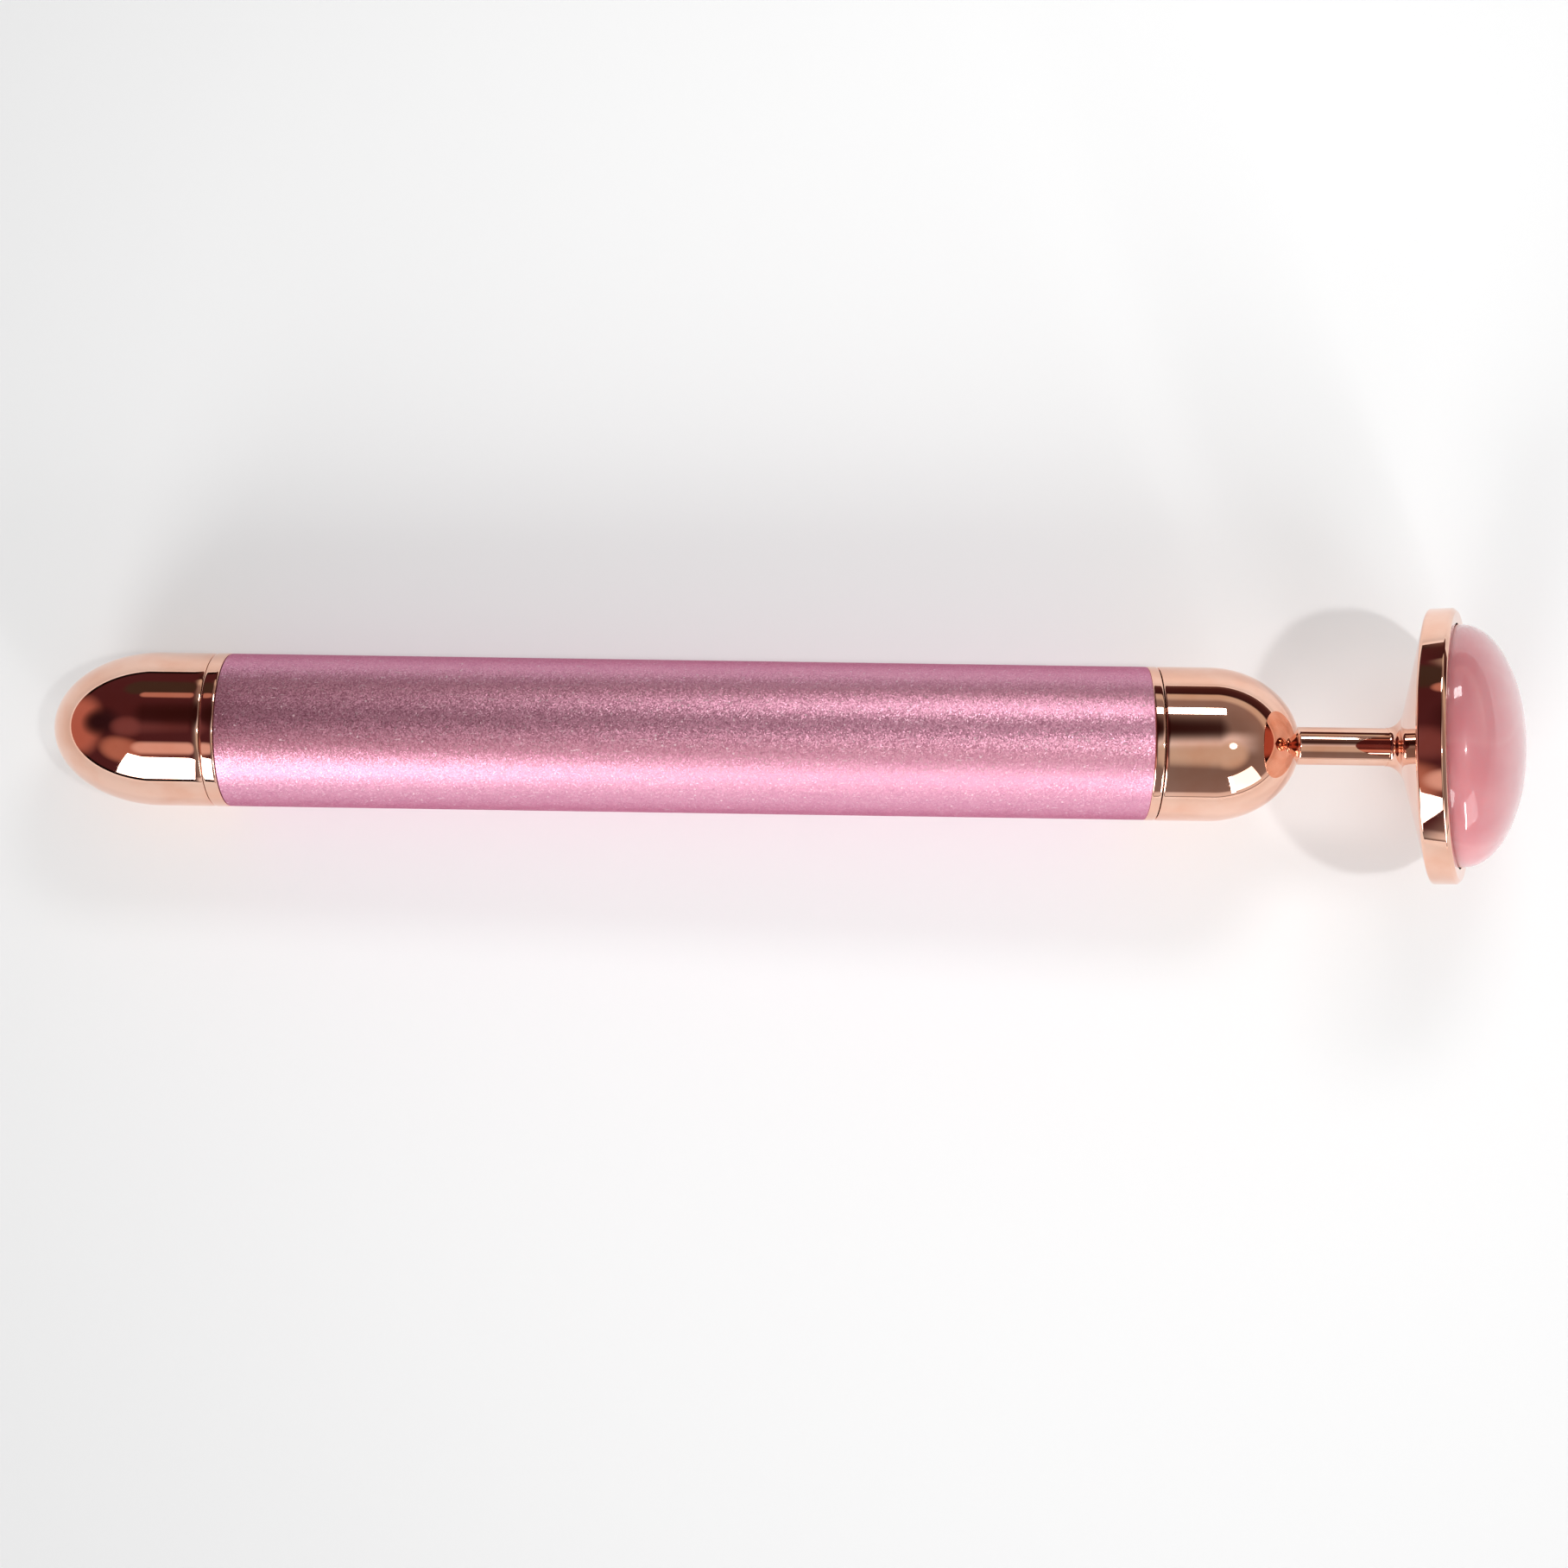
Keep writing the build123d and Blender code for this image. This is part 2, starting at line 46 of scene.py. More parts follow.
mm = 0.001
tiny = 1e-6  # two sizes in mm that differ by less than this are the same

# The wand's own axis is the motor's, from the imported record. Stations are mm along it from the tip of the tail.
motorStation = 105.7
spin = next(joint for joint in frame["joints"] if joint["name"] == "rotor_spin")
forward = np.array(spin["axis"], float)
forward /= np.linalg.norm(forward)
upward = np.array([-forward[2], 0.0, forward[0]])
tailTip = np.array(spin["pos_m"], float) - motorStation * mm * forward
wandPitch = math.atan2(forward[2], forward[0])

# The head is tilted up about this point, and its own stations start there
headTilt = math.radians(21)
headStation = 149.15
headForward = forward * math.cos(headTilt) + upward * math.sin(headTilt)
headUpward = upward * math.cos(headTilt) - forward * math.sin(headTilt)
headPoint = tailTip + headStation * mm * forward

# Both screw threads: pitch and run-out in mm. The wave is raised by gain and lowered by cut, and then clipped,
# which gives it flat tops and flat valleys.
screwThread = {"pitch": 1.0, "rowsPerTurn": 16, "runOut": 0.5, "gain": 1.7, "cut": 0.35}

sharpAngle = math.radians(34)  # edges that bend more than this stay sharp


def roundCorners(corners, steps=5):
    # corners are (station, radius, room before, room after) in mm; a corner with room is a quadratic curve
    # (1-t)^2 * start + 2t(1-t) * corner + t^2 * end, whose ends lie on the sides, the given room away
    points = np.array([corner[:2] for corner in corners], float)
    rows = []
    for i, corner in enumerate(corners):
        if len(corner) == 2:
            rows.append(points[i:i + 1])
            continue
        toward = points[i - 1] - points[i]
        away = points[i + 1] - points[i]
        start = points[i] + toward / np.linalg.norm(toward) * corner[2]
        end = points[i] + away / np.linalg.norm(away) * corner[3]
        t = np.linspace(0, 1, steps + 1)[:, None]
        rows.append((1 - t) ** 2 * start + 2 * t * (1 - t) * points[i] + t ** 2 * end)
    return np.concatenate(rows)


def ellipseArc(centre, length, radius, startAngle, endAngle, steps):
    # station = centre + length * cos(angle), radius = radius * sin(angle)
    angle = np.radians(np.linspace(startAngle, endAngle, steps + 1))
    return np.stack([centre + length * np.cos(angle), radius * np.sin(angle)], 1)


def straight(start, end, steps):
    # point = start + (end - start) * t, evenly spaced
    return np.array(start) + (np.array(end) - np.array(start)) * np.linspace(0, 1, steps + 1)[:, None]


def threadRows(start, end, radius):
    # a straight run of the profile, with enough rows for each turn of the thread
    turns = abs(end - start) / screwThread["pitch"]
    return straight((start, radius), (end, radius), int(round(turns * screwThread["rowsPerTurn"])))


def threadHeight(station, angle, start, end):
    # a triangle wave of (station / pitch - angle / full turn), clipped flat, which fades in and out at its ends
    d = screwThread
    phase = station / d["pitch"] - angle / (2 * np.pi)
    wave = 1 - np.abs(2 * (phase - np.floor(phase)) - 1)
    fade = np.clip((station - start) / d["runOut"], 0, 1) * np.clip((end - station) / d["runOut"], 0, 1)
    return np.clip(wave * d["gain"] - d["cut"], 0, 1) * fade


def turnedPiece(name, profile, body, replaced, material, columns, thread=None, slantStation=None,
                head=False, closed=False):
    # point(i, j) = origin + station_i * axis + radius_i * (cos(angle_j) * up + sin(angle_j) * side)
    origin, axis, up = (headPoint, headForward, headUpward) if head else (tailTip, forward, upward)
    side = np.cross(axis, up)
    angle = np.linspace(0, 2 * np.pi, columns, endpoint=False)[None, :]
    station = np.repeat(profile[:, :1], columns, 1)
    radius = np.repeat(profile[:, 1:2], columns, 1)
    if thread:
        # the rows that lie on the thread's radius rise by its height
        threadRadius, height, start, end = thread
        onThread = np.abs(radius - threadRadius) < tiny
        radius = radius + np.where(onThread, height * threadHeight(station, angle, start, end), 0)
    if slantStation is not None:
        # a slanting end: each point of those rows moves back by its height over the axis times tan(tilt)
        back = radius * np.cos(angle) * math.tan(headTilt)
        station = station - np.where(np.abs(station - slantStation) < tiny, back, 0)
    grid = (origin + mm * (station[..., None] * axis
            + radius[..., None] * (np.cos(angle)[..., None] * up + np.sin(angle)[..., None] * side)))
    gridPiece(name, grid, profile[:, 1] < tiny, closed, body, replaced, material)


def gridPiece(name, grid, pole, closed, body, replaced, material):
    # rows of points joined by quads; a row that is a pole is one vertex, and there the quads become triangles
    rows, columns = grid.shape[:2]
    points = grid.reshape(-1, 3)
    index = np.arange(rows)[:, None] * columns + np.arange(columns)[None, :]
    index = np.where(pole[:, None], index[:, :1], index)
    below = index if closed else index[:-1]
    above = np.roll(index, -1, 0) if closed else index[1:]
    quads = np.stack([below, np.roll(below, -1, 1), np.roll(above, -1, 1), above], -1).reshape(-1, 4)
    # same marks a corner that is the next corner too; a quad with one of those is a triangle
    same = np.roll(quads, -1, 1) == quads
    whole = quads[~same.any(1)]
    oneSame = same.sum(1) == 1
    order = (np.argmax(same[oneSame], 1)[:, None] + np.arange(1, 4)) % 4
    thirds = np.take_along_axis(quads[oneSame], order, 1)
    used = np.unique(np.concatenate([whole.ravel(), thirds.ravel()]))
    renumber = np.zeros(len(points), int)
    renumber[used] = np.arange(len(used))
    points, whole, thirds = points[used], renumber[whole], renumber[thirds]
    # faces point outwards where the sum of corner . (corner x corner) over all triangles is positive
    corners = np.concatenate([thirds, whole[:, :3], whole[:, [0, 2, 3]]])
    a, b, c = (points[corners[:, i]] for i in range(3))
    if np.sum(a * np.cross(b, c)) < 0:
        whole, thirds = whole[:, ::-1], thirds[:, ::-1]
    mesh = bpy.data.meshes.new(name)
    mesh.from_pydata(points.tolist(), [], whole.tolist() + thirds.tolist())
    mesh.polygons.foreach_set("use_smooth", np.ones(len(mesh.polygons), bool))
    mesh.set_sharp_from_angle(angle=sharpAngle)
    mesh.materials.append(material)
    piece = bpy.data.objects.new(name, mesh)
    bpy.context.scene.collection.objects.link(piece)
    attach(piece, body)
    if replaced:
        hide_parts(replaced)


def linearColour(text):
    # sRGB to linear light: c / 12.92 up to 0.04045, and above it ((c + 0.055) / 1.055) ^ 2.4
    srgb = np.array([int(text[i:i + 2], 16) for i in (1, 3, 5)]) / 255
    light = np.where(srgb <= 0.04045, srgb / 12.92, ((srgb + 0.055) / 1.055) ** 2.4)
    return (*light.tolist(), 1.0)


def addNode(tree, kind, settings=None, links=None, stops=(), **options):
    # settings give inputs a value, links feed them from outputs, and stops are a ramp's positions and colours
    node = tree.nodes.new(kind)
    for key, value in options.items():
        setattr(node, key, value)
    for key, value in (settings or {}).items():
        node.inputs[key].default_value = value
    for key, source in (links or {}).items():
        tree.links.new(source, node.inputs[key])
    for i, (position, colour) in enumerate((*stops[:1], *stops[-1:], *stops[1:-1])):
        # a new ramp has two stops, the first and the last
        stop = node.color_ramp.elements[i] if i < 2 else node.color_ramp.elements.new(position)
        stop.position, stop.color = position, linearColour(colour)
    return node


def newMaterial(name, settings):
    material = bpy.data.materials.new(name)
    material.use_nodes = True
    tree = material.node_tree
    shader = tree.nodes["Principled BSDF"]
    for key, value in settings.items():
        shader.inputs[key].default_value = value
    place = addNode(tree, "ShaderNodeTexCoord")
    # patterns run along the wand: the pitch of the axis is turned back
    aligned = addNode(tree, "ShaderNodeMapping", {"Rotation": (0, wandPitch, 0)},
                      {"Vector": place.outputs["Object"]}, vector_type="POINT")
    return material, tree, shader, aligned.outputs["Vector"]


def perMetre(sizeMm):
    # how many times a pattern of this size repeats in a metre, which is a texture's scale
    return 1000 / sizeMm


# Rose gold plate: brass that was polished and electroplated. The eye sees a warm pink mirror, with the
# faint waviness that polishing leaves and a few hairlines from handling. Real hairlines are under 0.05 mm wide;
# they are drawn at 0.35 mm so that they show. Sizes in mm.
roseGoldLook = {
    "deep": (0.35, "#F0BBA3"), "colour": (0.6, "#F5CAB6"), "roughness": (0.02, 0.055),
    "wave": 5.0, "waveDetail": 3.0, "waveDepth": 0.004, "waveStrength": 0.25,
    "hairline": 0.35, "hairDetail": 2.0, "hairStretch": (0.12, 1, 1), "hairShare": (0.45, 0.75),
}


def makeRoseGold():
    look = roseGoldLook
    material, tree, shader, along = newMaterial("electroplatedRoseGold", {"Metallic": 1.0})
    waves = addNode(tree, "ShaderNodeTexNoise", {
        "Scale": perMetre(look["wave"]), "Detail": look["waveDetail"]}, {"Vector": along})
    colour = addNode(tree, "ShaderNodeValToRGB", links={"Fac": waves.outputs["Fac"]},
                     stops=(look["deep"], look["colour"]))
    stretch = addNode(tree, "ShaderNodeMapping", {"Scale": look["hairStretch"]}, {"Vector": along})
    hairs = addNode(tree, "ShaderNodeTexNoise", {
        "Scale": perMetre(look["hairline"]), "Detail": look["hairDetail"]}, {"Vector": stretch.outputs["Vector"]})
    rough = addNode(tree, "ShaderNodeMapRange", {
        "From Min": look["hairShare"][0], "From Max": look["hairShare"][1],
        "To Min": look["roughness"][0], "To Max": look["roughness"][1]}, {"Value": hairs.outputs["Fac"]})
    bump = addNode(tree, "ShaderNodeBump", {
        "Strength": look["waveStrength"], "Distance": look["waveDepth"] * mm}, {"Height": waves.outputs["Fac"]})
    tree.links.new(colour.outputs["Color"], shader.inputs["Base Color"])
    tree.links.new(rough.outputs["Result"], shader.inputs["Roughness"])
    tree.links.new(bump.outputs["Normal"], shader.inputs["Normal"])
    return material


# Anodised aluminium: an extruded tube, bead blasted and dyed pink. The eye sees a satin metal full of
# glittering pits, with white specks and short scratches along the tube. Real pits are about 0.05 mm across and
# the scratches no wider; they are drawn at 0.12 and 0.22 mm so that they show. Sizes in mm.
anodisedLook = {
    "deep": (0.3, "#DA99B5"), "colour": (0.6, "#E7AAC2"), "pale": "#F8E2EA", "edge": "#C08A9E",
    "roughness": (0.4, 0.51), "stretched": 0.35,
    "pit": 0.12, "tilt": 0.2, "palePits": (0.88, 0.98), "palePitShare": 0.45,
    "cloud": 1.2, "cloudDetail": 4.0, "cloudRoughness": 0.7, "cloudStretch": (0.2, 1, 1), "cloudShare": 0.5,
    "speck": 0.7, "speckRarity": 0.86, "speckReach": 0.17,
    "scratch": 0.22, "scratchDetail": 1.0, "scratchStretch": (0.16, 1, 1), "scratchTops": (0.72, 0.76),
    "scratchShare": 0.7, "markRoughness": 0.8,
}


def makeAnodised():
    look = anodisedLook
    material, tree, shader, along = newMaterial("beadBlastedAnodisedAluminium", {
        # light that skims the tube crosses more of the dyed skin, so it comes back deeper pink
        "Metallic": 1.0, "Anisotropic": look["stretched"], "Specular Tint": linearColour(look["edge"])})
    pits = addNode(tree, "ShaderNodeTexVoronoi", {"Scale": perMetre(look["pit"])}, {"Vector": along})
    chance = addNode(tree, "ShaderNodeSeparateColor", links={"Color": pits.outputs["Color"]})
    streaked = addNode(tree, "ShaderNodeMapping", {"Scale": look["cloudStretch"]}, {"Vector": along})
    clouds = addNode(tree, "ShaderNodeTexNoise", {
        "Scale": perMetre(look["cloud"]), "Detail": look["cloudDetail"], "Roughness": look["cloudRoughness"]},
        {"Vector": streaked.outputs["Vector"]})
    both = addNode(tree, "ShaderNodeMix", {"Factor": look["cloudShare"]},
                   {"A": chance.outputs["Red"], "B": clouds.outputs["Fac"]}, data_type="FLOAT")
    colour = addNode(tree, "ShaderNodeValToRGB", links={"Fac": both.outputs["Result"]},
                     stops=(look["deep"], look["colour"]))
    # one pit in eight is paler than the rest
    palePits = addNode(tree, "ShaderNodeMapRange", {
        "From Min": look["palePits"][0], "From Max": look["palePits"][1], "To Max": look["palePitShare"]},
        {"Value": chance.outputs["Green"]})
    # specks: wide cells, of which few have a small white centre
    cells = addNode(tree, "ShaderNodeTexVoronoi", {"Scale": perMetre(look["speck"])}, {"Vector": along})
    chosen = addNode(tree, "ShaderNodeSeparateColor", links={"Color": cells.outputs["Color"]})
    rare = addNode(tree, "ShaderNodeMath", {1: look["speckRarity"]}, {0: chosen.outputs["Red"]},
                   operation="GREATER_THAN")
    near = addNode(tree, "ShaderNodeMath", {1: look["speckReach"]}, {0: cells.outputs["Distance"]},
                   operation="LESS_THAN")
    speck = addNode(tree, "ShaderNodeMath", links={0: rare.outputs[0], 1: near.outputs[0]}, operation="MULTIPLY")
    # scratches: noise drawn out along the tube, of which only the tops show
    stretch = addNode(tree, "ShaderNodeMapping", {"Scale": look["scratchStretch"]}, {"Vector": along})
    lines = addNode(tree, "ShaderNodeTexNoise", {
        "Scale": perMetre(look["scratch"]), "Detail": look["scratchDetail"]},
        {"Vector": stretch.outputs["Vector"]})
    scratch = addNode(tree, "ShaderNodeMapRange", {
        "From Min": look["scratchTops"][0], "From Max": look["scratchTops"][1], "To Max": look["scratchShare"]},
        {"Value": lines.outputs["Fac"]})
    marks = addNode(tree, "ShaderNodeMath", links={0: speck.outputs[0], 1: scratch.outputs["Result"]},
                    operation="MAXIMUM")
    allMarks = addNode(tree, "ShaderNodeMath", links={0: marks.outputs[0], 1: palePits.outputs["Result"]},
                       operation="MAXIMUM")
    worn = addNode(tree, "ShaderNodeMix", {"B": linearColour(look["pale"])},
                   {"Factor": allMarks.outputs[0], "A": colour.outputs["Color"]}, data_type="RGBA")
    satin = addNode(tree, "ShaderNodeMapRange", {
        "To Min": look["roughness"][0], "To Max": look["roughness"][1]}, {"Value": chance.outputs["Blue"]})
    # a mark is rougher than the metal round it, so it scatters light and shows white in the dark parts
    rough = addNode(tree, "ShaderNodeMix", {"B": look["markRoughness"]},
                    {"Factor": marks.outputs[0], "A": satin.outputs["Result"]}, data_type="FLOAT")
    # every pit leans its own way: the normal plus (random colour - 0.5) * tilt, made one long again
    centred = addNode(tree, "ShaderNodeVectorMath", {1: (0.5, 0.5, 0.5)}, {0: pits.outputs["Color"]},
                      operation="SUBTRACT")
    lean = addNode(tree, "ShaderNodeVectorMath", {"Scale": look["tilt"]}, {0: centred.outputs[0]},
                   operation="SCALE")
    surface = addNode(tree, "ShaderNodeNewGeometry")
    leaning = addNode(tree, "ShaderNodeVectorMath", links={0: surface.outputs["Normal"], 1: lean.outputs[0]},
                      operation="ADD")
    facing = addNode(tree, "ShaderNodeVectorMath", links={0: leaning.outputs[0]}, operation="NORMALIZE")
    # turning marks under the blasting draw highlights out along the tube: normal x (axis x normal) is that way
    around = addNode(tree, "ShaderNodeVectorMath", {0: tuple(forward)}, {1: surface.outputs["Normal"]},
                     operation="CROSS_PRODUCT")
    drawn = addNode(tree, "ShaderNodeVectorMath", links={0: surface.outputs["Normal"], 1: around.outputs[0]},
                    operation="CROSS_PRODUCT")
    tree.links.new(drawn.outputs[0], shader.inputs["Tangent"])
    tree.links.new(worn.outputs["Result"], shader.inputs["Base Color"])
    tree.links.new(rough.outputs["Result"], shader.inputs["Roughness"])
    tree.links.new(facing.outputs[0], shader.inputs["Normal"])
    return material


# Rose quartz: a cut and polished cabochon. The eye sees a milky pink stone, a little deeper in its middle
# than at its edge, with soft clouds and a faint vein, under a glossy skin. Sizes in mm.
quartzLook = {
    "colour": (0.36, "#CF7F86"), "pale": (0.66, "#DB9499"), "vein": "#EDBBBB",
    "cloud": 16, "cloudDetail": 3.0, "cloudWarp": 0.5,
    "veins": 30, "veinDetail": 2.0, "veinWarp": 0.6, "veinWidth": 0.02, "veinShare": 0.12,
    "shader": {"Roughness": 0.28, "IOR": 1.544, "Specular IOR Level": 0.1, "Transmission Weight": 0.1,
               "Subsurface Weight": 1.0, "Subsurface Scale": 3 * mm, "Subsurface Radius": (1.0, 0.6, 0.6),
               "Coat Weight": 1.0, "Coat Roughness": 0.02, "Coat IOR": 1.544},
}


def makeQuartz():
    look = quartzLook
    material, tree, shader, along = newMaterial("polishedRoseQuartz", look["shader"])
    clouds = addNode(tree, "ShaderNodeTexNoise", {
        "Scale": perMetre(look["cloud"]), "Detail": look["cloudDetail"], "Distortion": look["cloudWarp"]},
        {"Vector": along})
    colour = addNode(tree, "ShaderNodeValToRGB", links={"Fac": clouds.outputs["Fac"]},
                     stops=(look["colour"], look["pale"]))
    # a vein runs where this noise crosses its middle value, 0.5
    veins = addNode(tree, "ShaderNodeTexNoise", {
        "Scale": perMetre(look["veins"]), "Detail": look["veinDetail"], "Distortion": look["veinWarp"]},
        {"Vector": along})
    middle = addNode(tree, "ShaderNodeMath", {1: 0.5}, {0: veins.outputs["Fac"]}, operation="SUBTRACT")
    away = addNode(tree, "ShaderNodeMath", links={0: middle.outputs[0]}, operation="ABSOLUTE")
    thin = addNode(tree, "ShaderNodeMapRange", {
        "From Max": look["veinWidth"], "To Min": look["veinShare"], "To Max": 0.0}, {"Value": away.outputs[0]})
    veined = addNode(tree, "ShaderNodeMix", {"B": linearColour(look["vein"])},
                     {"Factor": thin.outputs["Result"], "A": colour.outputs["Color"]}, data_type="RGBA")
    tree.links.new(veined.outputs["Result"], shader.inputs["Base Color"])
    return material


# What the pieces inside share: two colours mixed by a grain, stretched where the surface was drawn or ground,
# which also varies the roughness and gives a slight relief. Grain and depth are in mm; grains that are really
# under 0.1 mm, such as ferrite's and the spark texture's, are drawn at 0.25 mm and up so that they show.
grainLook = {"detail": 4.0, "fineness": 0.6, "shadeStops": (0.35, 0.65), "spread": (0.3, 0.7), "relief": 0.6}


def grainyMaterial(name, look):
    shared = grainLook
    material, tree, shader, along = newMaterial(name, look["shader"])
    shaped = addNode(tree, "ShaderNodeMapping", {"Scale": look["stretch"]}, {"Vector": along})
    grain = addNode(tree, "ShaderNodeTexNoise", {
        "Scale": perMetre(look["grain"]), "Detail": shared["detail"], "Roughness": shared["fineness"]},
        {"Vector": shaped.outputs["Vector"]})
    colour = addNode(tree, "ShaderNodeValToRGB", links={"Fac": grain.outputs["Fac"]},
                     stops=tuple(zip(shared["shadeStops"], look["shades"])))
    rough = addNode(tree, "ShaderNodeMapRange", {
        "From Min": shared["spread"][0], "From Max": shared["spread"][1],
        "To Min": look["roughness"][0], "To Max": look["roughness"][1]}, {"Value": grain.outputs["Fac"]})
    bump = addNode(tree, "ShaderNodeBump", {
        "Strength": shared["relief"], "Distance": look["depth"] * mm}, {"Height": grain.outputs["Fac"]})
    tree.links.new(colour.outputs["Color"], shader.inputs["Base Color"])
    tree.links.new(rough.outputs["Result"], shader.inputs["Roughness"])
    tree.links.new(bump.outputs["Normal"], shader.inputs["Normal"])
    return material


even = (1, 1, 1)
metal = {"Metallic": 1.0}
finishes = {
    # nitrile rubber, moulded: soft matt black with a slight bloom
    "mouldedNitrileRubber": {"shades": ("#141414", "#222222"), "grain": 0.5, "stretch": even,
                             "roughness": (0.5, 0.7), "depth": 0.01, "shader": {"IOR": 1.52}},
    # ABS, injection moulded against spark-eroded steel: warm white, with an even fine texture
    "sparkTexturedAbs": {"shades": ("#D9D6CE", "#E4E1D9"), "grain": 0.35, "stretch": even,
                         "roughness": (0.42, 0.6), "depth": 0.015, "shader": {"IOR": 1.54}},
    # steel, deep drawn and nickel plated: satin, with drawing lines along the can
    "nickelPlatedDrawnSteel": {"shades": ("#B9B7B1", "#D2D0CA"), "grain": 0.4, "stretch": (0.08, 1, 1),
                               "roughness": (0.2, 0.34), "depth": 0.004, "shader": metal},
    # ferrite, pressed and sintered: dull dark grey with a sandy grain
    "sinteredFerrite": {"shades": ("#2A2A2C", "#3B3A3D"), "grain": 0.3, "stretch": even,
                        "roughness": (0.7, 0.9), "depth": 0.02, "shader": {"IOR": 2.0}},
    # nylon, glass filled and moulded: near black and slightly streaked
    "glassFilledNylon": {"shades": ("#1B1B1D", "#2B2B2E"), "grain": 0.6, "stretch": (0.4, 1, 1),
                         "roughness": (0.45, 0.65), "depth": 0.01, "shader": {"IOR": 1.53}},
    # brass strip, stamped and tinned: pale satin with a yellow cast where the tin is thin
    "tinnedBrass": {"shades": ("#CFC5A2", "#DCD7C8"), "grain": 0.7, "stretch": even,
                    "roughness": (0.22, 0.38), "depth": 0.005, "shader": metal},
    # bronze, sintered and sized: brown gold with open pores
    "sinteredBronze": {"shades": ("#9A7544", "#B98F5B"), "grain": 0.25, "stretch": even,
                       "roughness": (0.32, 0.5), "depth": 0.012, "shader": metal},
    # silver steel, centreless ground: bright with fine rings round the shaft
    "groundSilverSteel": {"shades": ("#C9C9C9", "#E0E0E0"), "grain": 0.3, "stretch": (6, 0.3, 0.3),
                          "roughness": (0.12, 0.22), "depth": 0.002, "shader": metal},
    # silicon steel sheets, stacked: dull grey brown with a line at every sheet, each 0.35 mm
    "stackedSiliconSteel": {"shades": ("#5C5650", "#8A8580"), "grain": 1.4, "stretch": (4, 0.05, 0.05),
                            "roughness": (0.35, 0.6), "depth": 0.02, "shader": metal},
    # brass bar, sawn and tumbled: yellow satin with rounded scratches
    "tumbledBrass": {"shades": ("#B9924F", "#D8B473"), "grain": 0.5, "stretch": (1, 0.4, 1),
                     "roughness": (0.22, 0.4), "depth": 0.008, "shader": metal},
    # soft PVC, extruded on wire: glossy red
    "extrudedRedPvc": {"shades": ("#A61510", "#BE2019"), "grain": 1.2, "stretch": (0.3, 1, 1),
                       "roughness": (0.25, 0.36), "depth": 0.004, "shader": {"IOR": 1.53}},
    # soft PVC, extruded on wire: glossy black
    "extrudedBlackPvc": {"shades": ("#0D0D0D", "#1A1A1A"), "grain": 1.2, "stretch": (0.3, 1, 1),
                         "roughness": (0.25, 0.36), "depth": 0.004, "shader": {"IOR": 1.53}},
    # PET sleeve, shrunk on the cell: plain slate film with slight pulls
    "shrunkPetSleeve": {"shades": ("#343B47", "#3F4755"), "grain": 4.0, "stretch": (1, 0.3, 0.3),
                        "roughness": (0.16, 0.26), "depth": 0.02, "shader": {"IOR": 1.57}},
    # manganese dioxide, pressed: black and crumbly
    "pressedManganeseDioxide": {"shades": ("#101010", "#242322"), "grain": 0.4, "stretch": even,
                                "roughness": (0.8, 0.95), "depth": 0.04, "shader": {"IOR": 1.6}},
    # spring steel, drawn and nickel plated: bright wire with faint lines
    "nickelPlatedSpringSteel": {"shades": ("#BDBBB5", "#D9D7D1"), "grain": 0.35, "stretch": (1, 0.6, 1),
                                "roughness": (0.16, 0.3), "depth": 0.003, "shader": metal},
    # epoxy, cured in place: clear to milky
    "curedEpoxy": {"shades": ("#E3D8CF", "#EFE7E0"), "grain": 2.0, "stretch": even,
                   "roughness": (0.18, 0.3), "depth": 0.01, "shader": {"IOR": 1.55, "Transmission Weight": 0.3}},
}
roseGold, anodised, quartz = makeRoseGold(), makeAnodised(), makeQuartz()
made = {name: grainyMaterial(name, look) for name, look in finishes.items()}
print("materials made:", len(made) + 3)

# CAD nodes that stay get their finish in their own material slots
nodeFinish = {
    "motor_holder": "sparkTexturedAbs", "motor_can": "nickelPlatedDrawnSteel", "motor_magnets": "sinteredFerrite",
    "motor_end_bell": "glassFilledNylon", "motor_terminals": "tinnedBrass", "motor_bush": "sinteredBronze",
    "motor_shaft": "groundSilverSteel", "motor_armature": "stackedSiliconSteel",
    "eccentric_weight": "tumbledBrass", "positive_contact": "tinnedBrass", "ground_strip": "sinteredBronze",
    "red_lead": "extrudedRedPvc", "black_lead": "extrudedBlackPvc", "battery_can": "nickelPlatedDrawnSteel",
    "battery_core": "pressedManganeseDioxide", "battery_jacket": "shrunkPetSleeve",
    "battery_end_plate": "nickelPlatedDrawnSteel", "spring_plate": "nickelPlatedSpringSteel",
    "battery_spring": "nickelPlatedSpringSteel", "tail_seal": "mouldedNitrileRubber",
    "head_seal": "mouldedNitrileRubber", "adhesive_bed": "curedEpoxy",
}
for nodeName, finishName in nodeFinish.items():
    for slot in nodes[nodeName].material_slots:
        slot.material = made[finishName]

# The pieces that show are each turned from a profile of (station, radius), in mm

# Tail dome: half an ellipsoid on a short skirt, whose rolled edge meets the ring
tailDome = {"length": 12.0, "radius": 8.55, "end": 18.03, "roll": (1.1, 0.14), "hollow": 6.6, "hollowStart": 9.1,
            "arcRows": 72, "rollRows": 8, "columns": 192}


def makeTailDome():
    # a quarter of an ellipse from the tip to the skirt, then the rolled edge and the hollow behind it
    d = tailDome
    nose = ellipseArc(d["length"], d["length"], d["radius"], 180, 90, d["arcRows"])
    nose[0, 1] = 0
    rest = roundCorners([(d["length"], d["radius"]), (d["end"], d["radius"], *d["roll"]), (d["end"], d["hollow"]),
                         (d["hollowStart"], d["hollow"]), (d["hollowStart"], 0)], d["rollRows"])[1:]
    turnedPiece("tailDome", np.concatenate([nose, rest]), "tail_cap", "tail_dome", roseGold,
                d["columns"])


